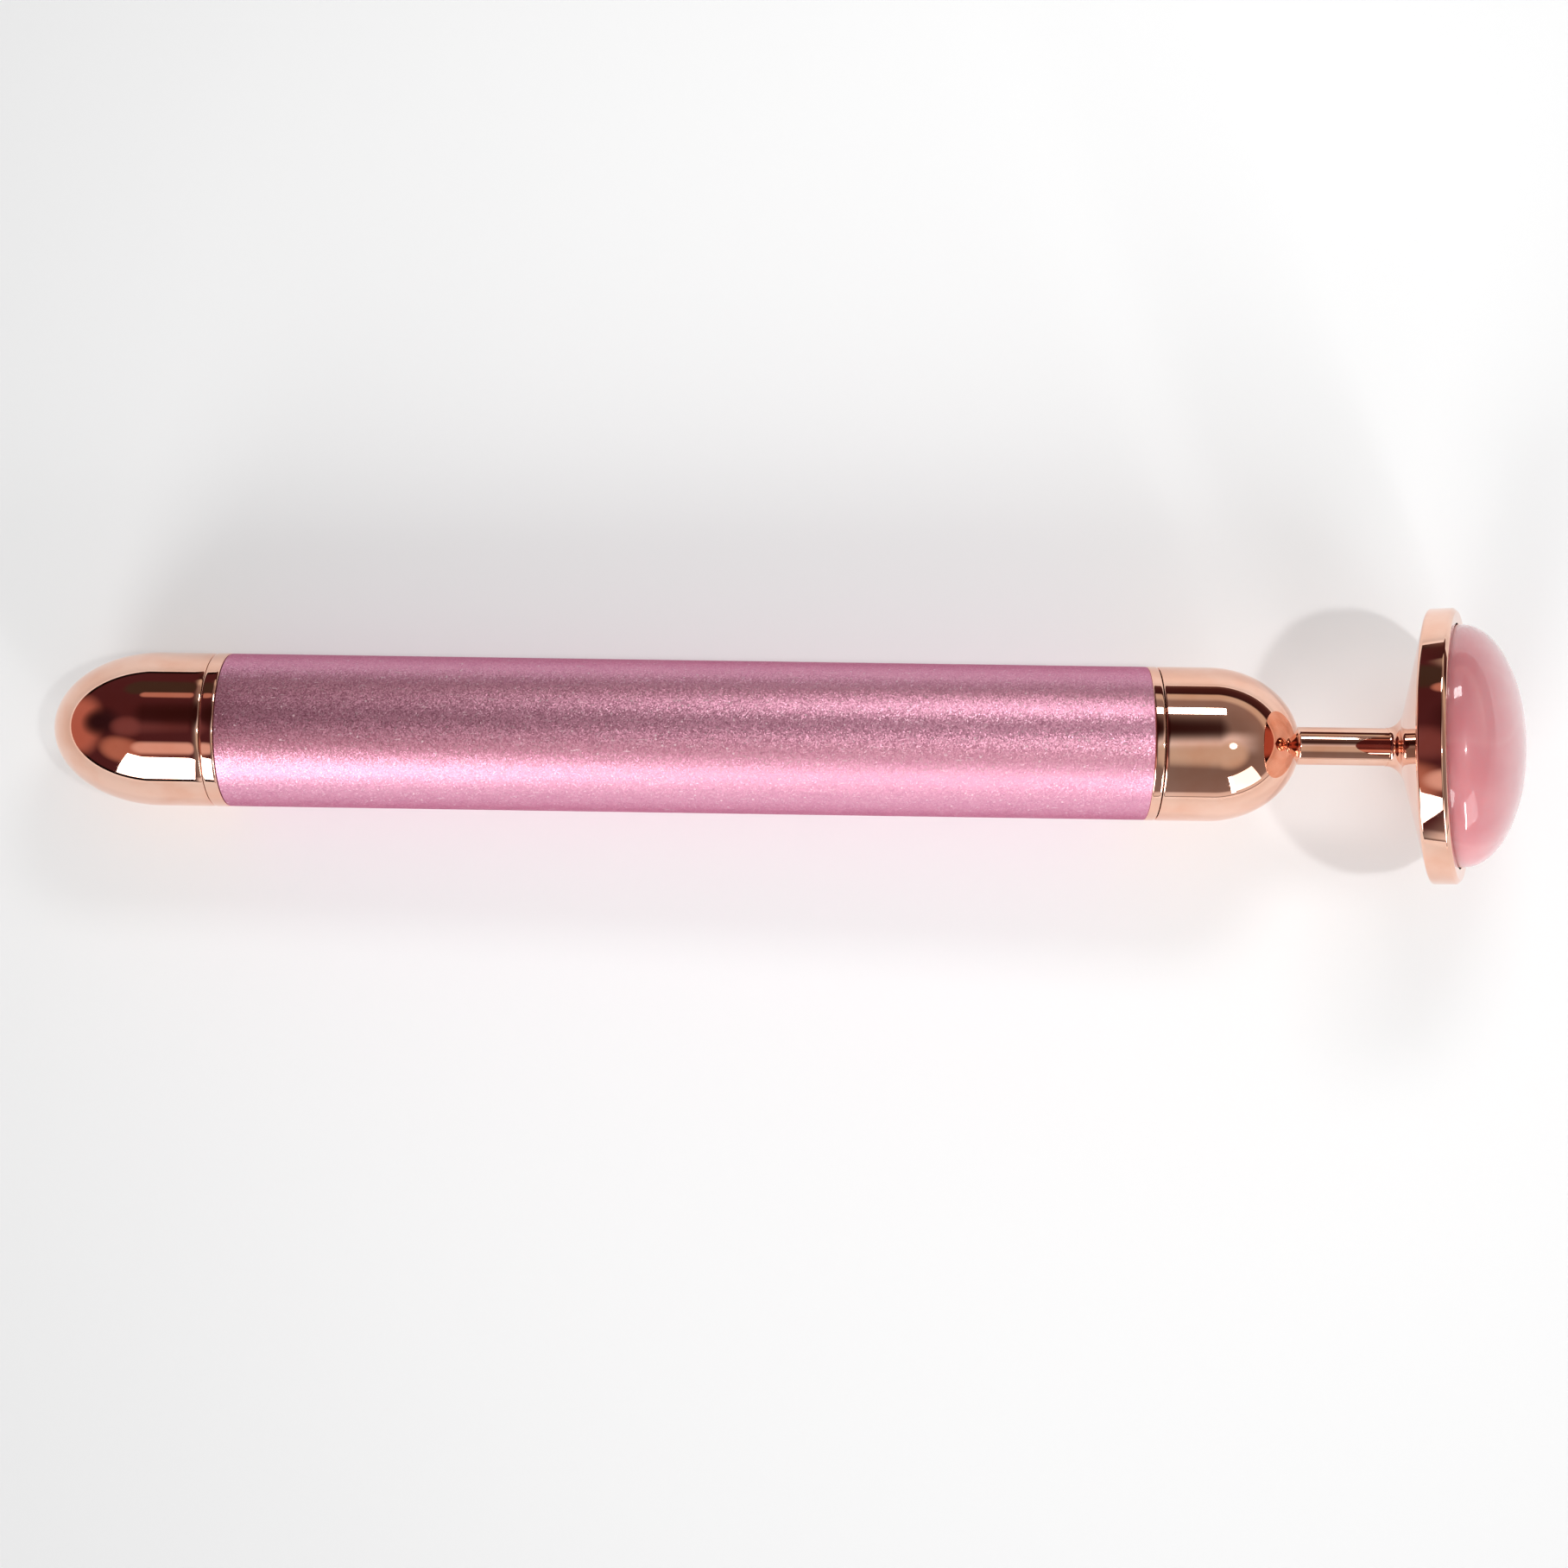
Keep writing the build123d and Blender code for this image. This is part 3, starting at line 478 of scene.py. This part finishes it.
# Tail plug: boss, ring and threaded spigot, hollow for the spring; ring is (start, end, radius)
tailPlug = {"start": 13.1, "boss": 6.6, "ring": (18.1, 19.6, 8.55), "roll": (0.14, 0.3), "rollRows": 6,
            "root": 7.1, "crest": 7.52, "thread": (20.5, 27.0), "chamfer": 0.3, "endWall": 0.9,
            "bore": 6.0, "boreRound": 0.2, "floor": 17.0, "floorRound": 0.3, "columns": 160}


def makeTailPlug():
    d = tailPlug
    ringStart, ringEnd, ringRadius = d["ring"]
    begin, finish = d["thread"]
    low, high = d["roll"]
    first = roundCorners([(d["start"], 0), (d["start"], d["boss"]), (ringStart, d["boss"]),
                          (ringStart, ringRadius, low, high), (ringEnd, ringRadius, high, low),
                          (ringEnd, d["root"])], d["rollRows"])
    last = roundCorners([(finish, d["bore"] + d["endWall"]), (finish, d["bore"], d["boreRound"], d["boreRound"]),
                         (d["floor"], d["bore"], d["floorRound"], d["floorRound"]), (d["floor"], 0)])
    threadEnd = finish - d["chamfer"]
    profile = np.concatenate([first, threadRows(begin, threadEnd, d["root"]), last])
    turnedPiece("tailPlug", profile, "tail_cap", "tail_plug", roseGold, d["columns"],
                thread=(d["root"], d["crest"] - d["root"], begin, threadEnd))


# Handle tube: straight, with broken outer edges, a wider mouth for the rubber ring and a thread behind it
handleTube = {"start": 19.68, "end": 121.25, "radius": 8.5, "edge": 0.08, "edgeRows": 4, "rings": 40,
              "mouth": 8.0, "mouthDepth": 0.8, "bore": 7.6, "thread": (20.7, 28.0), "groove": 0.35,
              "columns": 160}


def makeHandleTube():
    # along the outside from mouth to end, and back through the bore
    d = handleTube
    edge = d["edge"]
    begin, finish = d["thread"]
    mouthEnd = d["start"] + d["mouthDepth"]
    outside = roundCorners([(d["start"], d["mouth"]), (d["start"], d["radius"], edge, edge),
                            (d["end"], d["radius"], edge, edge), (d["end"], d["bore"])], d["edgeRows"])
    split = np.argmax(outside[:, 0] > (d["start"] + d["end"]) / 2)
    middle = straight(outside[split - 1], outside[split], d["rings"])[1:-1]
    profile = np.concatenate([outside[:split], middle, outside[split:], threadRows(finish, begin, d["bore"]),
                              [(mouthEnd, d["bore"]), (mouthEnd, d["mouth"])]])
    turnedPiece("handleTube", profile, "handle", "handle_tube", anodised, d["columns"],
                thread=(d["bore"], d["groove"], begin, finish), closed=True)


# Front collar: sleeve pressed in the tube, ring that shows, threaded nose; ring is (start, end, radius)
frontCollar = {"start": 115.45, "sleeve": 7.58, "ring": (121.25, 122.35, 8.55), "roll": (0.14, 0.3), "rollRows": 6,
               "nose": 6.9, "root": 6.5, "crest": 6.88, "thread": (123.3, 127.95), "runIn": 0.5, "chamfer": 0.2,
               "bore": 5.6, "round": 0.2, "columns": 160}


def makeFrontCollar():
    d = frontCollar
    ringStart, ringEnd, ringRadius = d["ring"]
    begin, finish = d["thread"]
    low, high = d["roll"]
    first = roundCorners([(d["start"], d["bore"]), (d["start"], d["sleeve"], d["round"], d["round"]),
                          (ringStart, d["sleeve"]), (ringStart, ringRadius, low, high),
                          (ringEnd, ringRadius, high, low), (ringEnd, d["nose"]), (begin, d["nose"])],
                         d["rollRows"])
    last = roundCorners([(finish, d["root"]), (finish, d["bore"], d["round"], d["round"]),
                         (d["start"], d["bore"])])[:-1]
    profile = np.concatenate([first, threadRows(begin, finish - d["chamfer"], d["root"]), last])
    turnedPiece("frontCollar", profile, "handle", "front_collar", roseGold, d["columns"],
                thread=(d["root"], d["crest"] - d["root"], begin - d["runIn"], finish), closed=True)


# Front dome: threaded skirt, half an ellipsoid, and a small fillet into the neck
frontDome = {"start": 122.46, "roll": (0.12, 0.45), "rollRows": 8, "skirtEnd": 128.15, "length": 10.15,
             "radius": 8.55, "arcRows": 72, "fillet": 0.35, "filletRows": 12, "trials": 3000,
             "neck": 2.1, "seat": 131.95, "mouth": 7.79, "mouthDepth": 0.8, "bore": 6.98, "hollowEnd": 128.35,
             "groove": 0.4, "columns": 192}


def makeFrontDome():
    d = frontDome
    # the fillet touches both the ellipse and the neck: its centre is one fillet radius off each. It is found
    # among many points of the ellipse, as the one whose centre comes out at that height over the axis.
    angle = np.radians(np.linspace(90, 5, d["trials"]))
    curve = np.stack([d["skirtEnd"] + d["length"] * np.cos(angle), d["radius"] * np.sin(angle)], 1)
    normal = np.stack([np.cos(angle) / d["length"], np.sin(angle) / d["radius"]], 1)
    normal /= np.linalg.norm(normal, axis=1)[:, None]
    centre = curve + d["fillet"] * normal
    pick = np.argmin(np.abs(centre[:, 1] - d["neck"] - d["fillet"]))
    turn = np.linspace(math.atan2(-normal[pick, 1], -normal[pick, 0]), -math.pi / 2, d["filletRows"] + 1)
    fillet = centre[pick] + d["fillet"] * np.stack([np.cos(turn), np.sin(turn)], 1)
    dome = ellipseArc(d["skirtEnd"], d["length"], d["radius"], 90, math.degrees(angle[pick]), d["arcRows"])
    outer = roundCorners([(d["start"], d["mouth"]), (d["start"], d["radius"], *d["roll"]),
                          (d["skirtEnd"], d["radius"])], d["rollRows"])
    seat = np.array([(d["seat"], d["neck"]), (d["seat"], 0)])
    begin, finish = d["start"] + d["mouthDepth"], d["hollowEnd"]
    inner = np.concatenate([[(finish, 0)], threadRows(finish, begin, d["bore"]), [(begin, d["mouth"])]])
    profile = np.concatenate([inner, outer[:-1], dome, fillet[1:], seat])
    turnedPiece("frontDome", profile, "head", "head_dome", roseGold, d["columns"],
                thread=(d["bore"], d["groove"], begin, finish))


# Neck rod: a plain turned bar, cut at the angle of the head, which it enters a little
neckRod = {"start": 131.95, "radius": 2.1, "into": 0.55, "rows": 24, "columns": 96}


def makeNeckRod():
    d = neckRod
    r = d["radius"]
    end = headStation + d["into"] / math.cos(headTilt)
    profile = np.concatenate([[(d["start"], 0)], straight((d["start"], r), (end, r), d["rows"]), [(end, 0)]])
    turnedPiece("neckRod", profile, "head", "neck_rod", roseGold, d["columns"],
                slantStation=end)


# Fillet of silver solder, plated over, between the neck and the back of the pan; it starts at a fine edge.
# Its hidden side lies a little inside the neck and the pan.
neckFlare = {"neckStation": 148.0, "edge": 0.04, "panRadius": 5.5, "sink": 0.012, "insideNeck": 0.12,
             "insidePan": 0.4, "insideCone": 0.3, "rows": 32, "columns": 128}


def makeNeckFlare():
    # point(t, angle) = (1-t)^2 * start + 2t(1-t) * corner + t^2 * end: start lies on the neck, corner is where
    # the neck's line meets the pan's back, and end lies on the cone
    d, pan = neckFlare, headPan
    angle = np.linspace(0, 2 * np.pi, d["columns"], endpoint=False)[:, None]
    side = np.cross(forward, upward)
    aroundNeck = np.cos(angle) * upward + np.sin(angle) * side
    aroundHead = np.cos(angle) * headUpward + np.sin(angle) * side
    r = neckRod["radius"] + d["edge"]
    slope = (pan["coneDepth"] - pan["hubDepth"]) / (pan["rim"] - pan["hub"])
    depth = pan["hubDepth"] + slope * (d["panRadius"] - pan["hub"]) + d["sink"]
    start = tailTip + mm * (d["neckStation"] * forward + r * aroundNeck)
    rise = headStation + pan["hubDepth"] / math.cos(headTilt) - r * np.cos(angle) * math.tan(headTilt)
    corner = tailTip + mm * (rise * forward + r * aroundNeck)
    end = headPoint + mm * (depth * headForward + d["panRadius"] * aroundHead)
    t = np.linspace(0, 1, d["rows"] + 1)[:, None, None]
    flare = (1 - t) ** 2 * start + 2 * t * (1 - t) * corner + t ** 2 * end
    foot = start - mm * d["insideNeck"] * aroundNeck
    inner = corner + mm * (d["insidePan"] * headForward - d["insideNeck"] * aroundNeck)
    back = end + mm * d["insideCone"] * headForward
    grid = np.concatenate([foot[None], flare, back[None], inner[None]])
    noPoles = np.zeros(len(grid), bool)
    gridPiece("neckFlare", grid, noPoles, True, "head", None, roseGold)


# Head pan: shallow cone behind, rounded corner, straight rim, bevelled lip and a recess for the stone; its
# stations, and the stone's, are depths along the head's own axis
headPan = {"hub": 2.7, "hubDepth": 0.6, "hubRound": 0.25, "coneDepth": 3.8, "coneRows": 30, "rim": 15.2,
           "round": 0.4, "roundRows": 14, "rimEnd": 6.4, "rimRun": 1.0, "face": 6.8, "bevel": 0.4,
           "bevelRound": 0.12, "lipRound": 0.15, "lipRows": 4, "recess": 13.5, "floor": 4.6, "columns": 256}


def makeHeadPan():
    d = headPan
    # the corner between cone and rim: centre + round * (cos(turn), sin(turn)), which touches both
    slope = math.atan2(d["coneDepth"] - d["hubDepth"], d["rim"] - d["hub"])
    reach = d["round"] * math.tan((math.pi / 2 - slope) / 2)
    turn = np.pi / 2 + (np.pi / 2 - slope) * np.linspace(1, 0, d["roundRows"] + 1)
    centre = np.array([d["coneDepth"] + reach, d["rim"] - d["round"]])
    corner = centre + d["round"] * np.stack([np.cos(turn), np.sin(turn)], 1)
    back = roundCorners([(d["hubDepth"], 0), (d["hubDepth"], d["hub"], d["hubRound"], d["hubRound"]),
                         tuple(corner[0])])
    cone = straight(back[-2], corner[0], d["coneRows"])[1:-1]
    bevel, lip = d["bevelRound"], d["lipRound"]
    face = roundCorners([(d["rimEnd"] - d["rimRun"], d["rim"]), (d["rimEnd"], d["rim"], bevel, bevel),
                         (d["face"], d["rim"] - d["bevel"], bevel, bevel), (d["face"], d["recess"], lip, lip),
                         (d["floor"], d["recess"]), (d["floor"], 0)], d["lipRows"])[1:]
    turnedPiece("headPan", np.concatenate([back[:-1], cone, corner, face]), "head", "head_pan",
                roseGold, d["columns"], head=True)


# Stone: a cabochon with a straight side and a crown that is half an ellipsoid
stone = {"start": 5.0, "radius": 13.35, "round": 0.3, "crownStart": 7.1, "crown": 6.7, "arcRows": 80,
         "columns": 256}


def makeStone():
    # up the straight side, and over the crown by a quarter of an ellipse to its tip
    d = stone
    foot = roundCorners([(d["start"], 0), (d["start"], d["radius"], d["round"], d["round"]),
                         (d["crownStart"], d["radius"])])
    crown = ellipseArc(d["crownStart"], d["crown"], d["radius"], 90, 0, d["arcRows"])
    crown[-1, 1] = 0
    turnedPiece("stoneCabochon", np.concatenate([foot[:-1], crown]), "head", "massage_stone",
                quartz, d["columns"], head=True)


makeTailDome()
makeTailPlug()
makeHandleTube()
makeFrontCollar()
makeFrontDome()
makeNeckRod()
makeNeckFlare()
makeHeadPan()
makeStone()
print("turned pieces made")

# Matt white paper, in metres: the camera and mirrors see it lit a little by itself, so it keeps the shadow near
# the wand, and wholly so far away, where it runs into the white backdrop
paperLook = {"radius": 1.6, "corners": 96, "glow": 0.12, "fade": (0.18, 0.6), "colour": "#FCFCFC",
             "roughness": 0.9, "gloss": 0.1}


def makeFloor():
    # one flat disc: point(j) = radius * (cos(angle_j), sin(angle_j))
    look = paperLook
    angle = np.linspace(0, 2 * np.pi, look["corners"], endpoint=False)
    ring = look["radius"] * np.stack([np.cos(angle), np.sin(angle), 0 * angle], 1)
    mesh = bpy.data.meshes.new("paperFloor")
    mesh.from_pydata(ring.tolist(), [], [list(range(look["corners"]))])
    floor = bpy.data.objects.new("paperFloor", mesh)
    bpy.context.scene.collection.objects.link(floor)
    material, tree, shader, along = newMaterial("mattWhitePaper", {
        "Base Color": linearColour(look["colour"]), "Roughness": look["roughness"],
        "Specular IOR Level": look["gloss"]})
    path = addNode(tree, "ShaderNodeLightPath").outputs
    mirror = addNode(tree, "ShaderNodeMath", links={0: path["Is Camera Ray"], 1: path["Is Glossy Ray"]},
                     operation="MAXIMUM")
    seen = addNode(tree, "ShaderNodeMath", links={0: mirror.outputs[0], 1: path["Is Transmission Ray"]},
                   operation="MAXIMUM")
    away = addNode(tree, "ShaderNodeVectorMath", links={0: along}, operation="LENGTH")
    level = addNode(tree, "ShaderNodeMapRange", {
        "From Min": look["fade"][0], "From Max": look["fade"][1], "To Min": look["glow"]},
        {"Value": away.outputs["Value"]}, interpolation_type="SMOOTHSTEP")
    share = addNode(tree, "ShaderNodeMath", links={0: seen.outputs[0], 1: level.outputs["Result"]},
                    operation="MULTIPLY")
    glow = addNode(tree, "ShaderNodeEmission", {"Color": (1, 1, 1, 1), "Strength": 1.0})
    mixed = addNode(tree, "ShaderNodeMixShader", links={
        0: share.outputs[0], 1: shader.outputs["BSDF"], 2: glow.outputs["Emission"]})
    tree.links.new(mixed.outputs["Shader"], tree.nodes["Material Output"].inputs["Surface"])
    mesh.materials.append(material)


def directionOf(azimuth, elevation):
    # (cos(elevation) * cos(azimuth), cos(elevation) * sin(azimuth), sin(elevation)), from degrees
    around, above = math.radians(azimuth), math.radians(elevation)
    return (math.cos(above) * math.cos(around), math.cos(above) * math.sin(around), math.sin(above))


# The room that mirrors see. Each side has its own bands from the horizon up: (height, colour) with height the
# sine of the elevation. Behind the tail it is dark red with copper patches; over the head it is bright.
roomLook = {
    "far": ((0.0, "#6A4F49"), (0.08, "#4B2A28"), (0.26, "#3A1F1E"), (0.3, "#D0C2B0"), (0.4, "#CFC2B2"),
            (0.48, "#94837C"), (0.8, "#83746E"), (1.0, "#80726D")),
    "near": ((0.0, "#8E817C"), (0.03, "#EDE6E2"), (0.12, "#E2DAD6"), (0.17, "#8D7F7B"), (0.6, "#83756F"),
             (1.0, "#80726D")),
    "ground": "#120A09", "behind": "#4E272B",
    # a strip over the head's end: long along the wand and narrow across it, a little to the near side
    "strip": "#E9E4E4", "stripShift": 0.03,
    # how light the room is for everything but mirrors
    "soft": 0.42,
    # shares that run smoothly from 0 to 1 between two values of the ray's X, Y or Z, or of its way off the strip
    "shares": {"nearSide": ("Y", 0.25, -0.25), "overGround": ("Z", 0.03, 0.09), "tailEnd": ("X", -0.04, -0.26),
               "stripStart": ("X", -0.12, 0.12), "stripEnd": ("X", 0.92, 0.35), "stripWidth": ("off", 0.32, 0.06)},
    # soft patches: azimuth and elevation of the middle, inner and outer reach in degrees, colour
    "patches": ((-45, 61, 10, 24, "#CFC2B2"), (178, 8, 20, 36, "#B57468"), (-136, 38, 8, 22, "#B27868"),
                (174, 35, 3, 23, "#2E181D"), (-176, 60, 0, 17, "#7A4A4B"), (-119, 52, 4, 11, "#E0B7AC"),
                (113, 28, 7, 13, "#43342C"), (112, 41, 2, 5, "#B98678"), (100, 72, 6, 26, "#2E1312")),
}


def makeRoom():
    look = roomLook
    world = bpy.data.worlds.new("studio")
    bpy.context.scene.world = world
    world.use_nodes = True
    tree = world.node_tree
    tree.nodes.clear()
    ray = addNode(tree, "ShaderNodeTexCoord").outputs["Generated"]
    parts = addNode(tree, "ShaderNodeSeparateXYZ", links={"Vector": ray}).outputs
    across = addNode(tree, "ShaderNodeMath", {1: look["stripShift"]}, {0: parts["Y"]}, operation="ADD")
    off = addNode(tree, "ShaderNodeMath", links={0: across.outputs[0]}, operation="ABSOLUTE")
    measures = {"X": parts["X"], "Y": parts["Y"], "Z": parts["Z"], "off": off.outputs[0]}
    share = {}
    for name, (measure, low, high) in look["shares"].items():
        step = addNode(tree, "ShaderNodeMapRange", {"From Min": low, "From Max": high},
                       {"Value": measures[measure]}, interpolation_type="SMOOTHSTEP")
        share[name] = step.outputs["Result"]
    far, near = (addNode(tree, "ShaderNodeValToRGB", links={"Fac": parts["Z"]}, stops=look[side])
                 for side in ("far", "near"))
    sides = addNode(tree, "ShaderNodeMix", links={
        "Factor": share["nearSide"], "A": far.outputs["Color"], "B": near.outputs["Color"]}, data_type="RGBA")
    behind = addNode(tree, "ShaderNodeMix", {"A": linearColour(look["ground"]), "B": linearColour(look["behind"])},
                     {"Factor": share["overGround"]}, data_type="RGBA")
    seen = addNode(tree, "ShaderNodeMix", links={
        "Factor": share["tailEnd"], "A": sides.outputs["Result"], "B": behind.outputs["Result"]}, data_type="RGBA")
    length = addNode(tree, "ShaderNodeMath", links={0: share["stripStart"], 1: share["stripEnd"]},
                     operation="MULTIPLY")
    strip = addNode(tree, "ShaderNodeMath", links={0: share["stripWidth"], 1: length.outputs[0]},
                    operation="MULTIPLY")
    layers = [(strip.outputs[0], look["strip"])]
    for azimuth, elevation, inner, outer, colour in look["patches"]:
        # by the cosine of the angle between the ray and the patch's middle
        nearness = addNode(tree, "ShaderNodeVectorMath", {1: directionOf(azimuth, elevation)}, {0: ray},
                           operation="DOT_PRODUCT")
        reach = addNode(tree, "ShaderNodeMapRange", {
            "From Min": math.cos(math.radians(outer)), "From Max": math.cos(math.radians(inner))},
            {"Value": nearness.outputs["Value"]}, interpolation_type="SMOOTHSTEP")
        layers.append((reach.outputs["Result"], colour))
    # each layer lies over those before it
    for amount, colour in layers:
        seen = addNode(tree, "ShaderNodeMix", {"B": linearColour(colour)},
                       {"Factor": amount, "A": seen.outputs["Result"]}, data_type="RGBA")
    # mirrors see the room, everything else an even grey, and the camera plain white
    path = addNode(tree, "ShaderNodeLightPath").outputs
    soft = addNode(tree, "ShaderNodeMix", {"A": (look["soft"],) * 3 + (1,)},
                   {"Factor": path["Is Glossy Ray"], "B": seen.outputs["Result"]}, data_type="RGBA")
    white = addNode(tree, "ShaderNodeMix", {"B": (1, 1, 1, 1)},
                    {"Factor": path["Is Camera Ray"], "A": soft.outputs["Result"]}, data_type="RGBA")
    background = addNode(tree, "ShaderNodeBackground", {"Strength": 1.0}, {"Color": white.outputs["Result"]})
    addNode(tree, "ShaderNodeOutputWorld", links={"Surface": background.outputs["Background"]})


# Each lamp: the place it is aimed at (mm), its azimuth and elevation from there (degrees), distance and size (m),
# and watts. A lamp with a bright core is two lamps, so that a mirror shows all of it and the stone's gloss only
# the core. The spot has a narrow beam, in degrees: it lights the head fully and the tail a little.
lamps = {
    "keySoftbox": {"shape": "RECTANGLE", "aim": (-70, 0, 15), "turn": (-113.5, 21.5), "distance": 2.0,
                   "size": (0.82, 1.26), "watts": 20.0},
    "sidePanel": {"shape": "RECTANGLE", "aim": (48, 0, 19), "turn": (-52.5, 19.5), "distance": 0.65,
                  "size": (0.31, 0.31), "watts": 0.7},
    "sideTube": {"shape": "RECTANGLE", "aim": (48, 0, 19), "turn": (-66, 18), "distance": 0.64,
                 "size": (0.04, 0.32), "watts": 0.76},
    "farBar": {"shape": "RECTANGLE", "aim": (66, 3, 20), "turn": (90, 45), "distance": 0.28,
               "size": (0.115, 0.05), "watts": 0.19},
    "topHalo": {"shape": "DISK", "aim": (47, 0, 20), "turn": (-17, 66.5), "distance": 1.8,
                "size": (0.26, 0.26), "watts": 0.6},
    "topSpot": {"beam": 10.3, "edgeBlend": 1.0, "aim": (47, 0, 20), "turn": (-17, 66.5), "distance": 1.78,
                "radius": 0.05, "watts": 25.0},
}


def makeLamps():
    for name, lamp in lamps.items():
        azimuth, elevation = lamp["turn"]
        toward = np.array(directionOf(azimuth, elevation))
        light = bpy.data.lights.new(name, "SPOT" if "beam" in lamp else "AREA")
        light.energy = lamp["watts"]
        if "beam" in lamp:
            light.spot_size, light.spot_blend = math.radians(lamp["beam"]), lamp["edgeBlend"]
            light.shadow_soft_size = lamp["radius"]
        else:
            light.shape = lamp["shape"]
            light.size, light.size_y = lamp["size"]
        holder = bpy.data.objects.new(name, light)
        holder.location = np.array(lamp["aim"]) * mm + toward * lamp["distance"]
        # a lamp shines down its own -Z: it is tipped up from there, and turned to its azimuth
        sideways = np.cross((0, 0, 1), toward)
        holder.rotation_euler = (math.radians(90 - elevation), 0, math.atan2(sideways[1], sideways[0]))
        holder.visible_camera = False
        bpy.context.scene.collection.objects.link(holder)


makeFloor()
makeRoom()
makeLamps()
print("floor, room and lamps made")

# Camera: straight above, a little towards the near side, as fitted to the photograph's outlines. Place in mm,
# turn in radians, focal length and frame in the photograph's pixels.
cameraLook = {"place": (-5.2246, -23.5098, 266.2554), "turn": (0.0715, -0.0193, 0.0159), "focal": 2671.4,
              "frame": 1816, "sensor": 36, "clip": (0.01, 20)}


def makeCamera():
    look = cameraLook
    camera = bpy.data.cameras.new("viewCamera")
    camera.sensor_width = look["sensor"]
    camera.lens = look["focal"] / look["frame"] * look["sensor"]
    camera.clip_start, camera.clip_end = look["clip"]
    holder = bpy.data.objects.new("viewCamera", camera)
    holder.location = np.array(look["place"]) * mm
    holder.rotation_euler = look["turn"]
    bpy.context.scene.collection.objects.link(holder)
    bpy.context.scene.camera = holder


makeCamera()
bpy.context.scene.view_settings.view_transform = "Standard"
print("camera set")
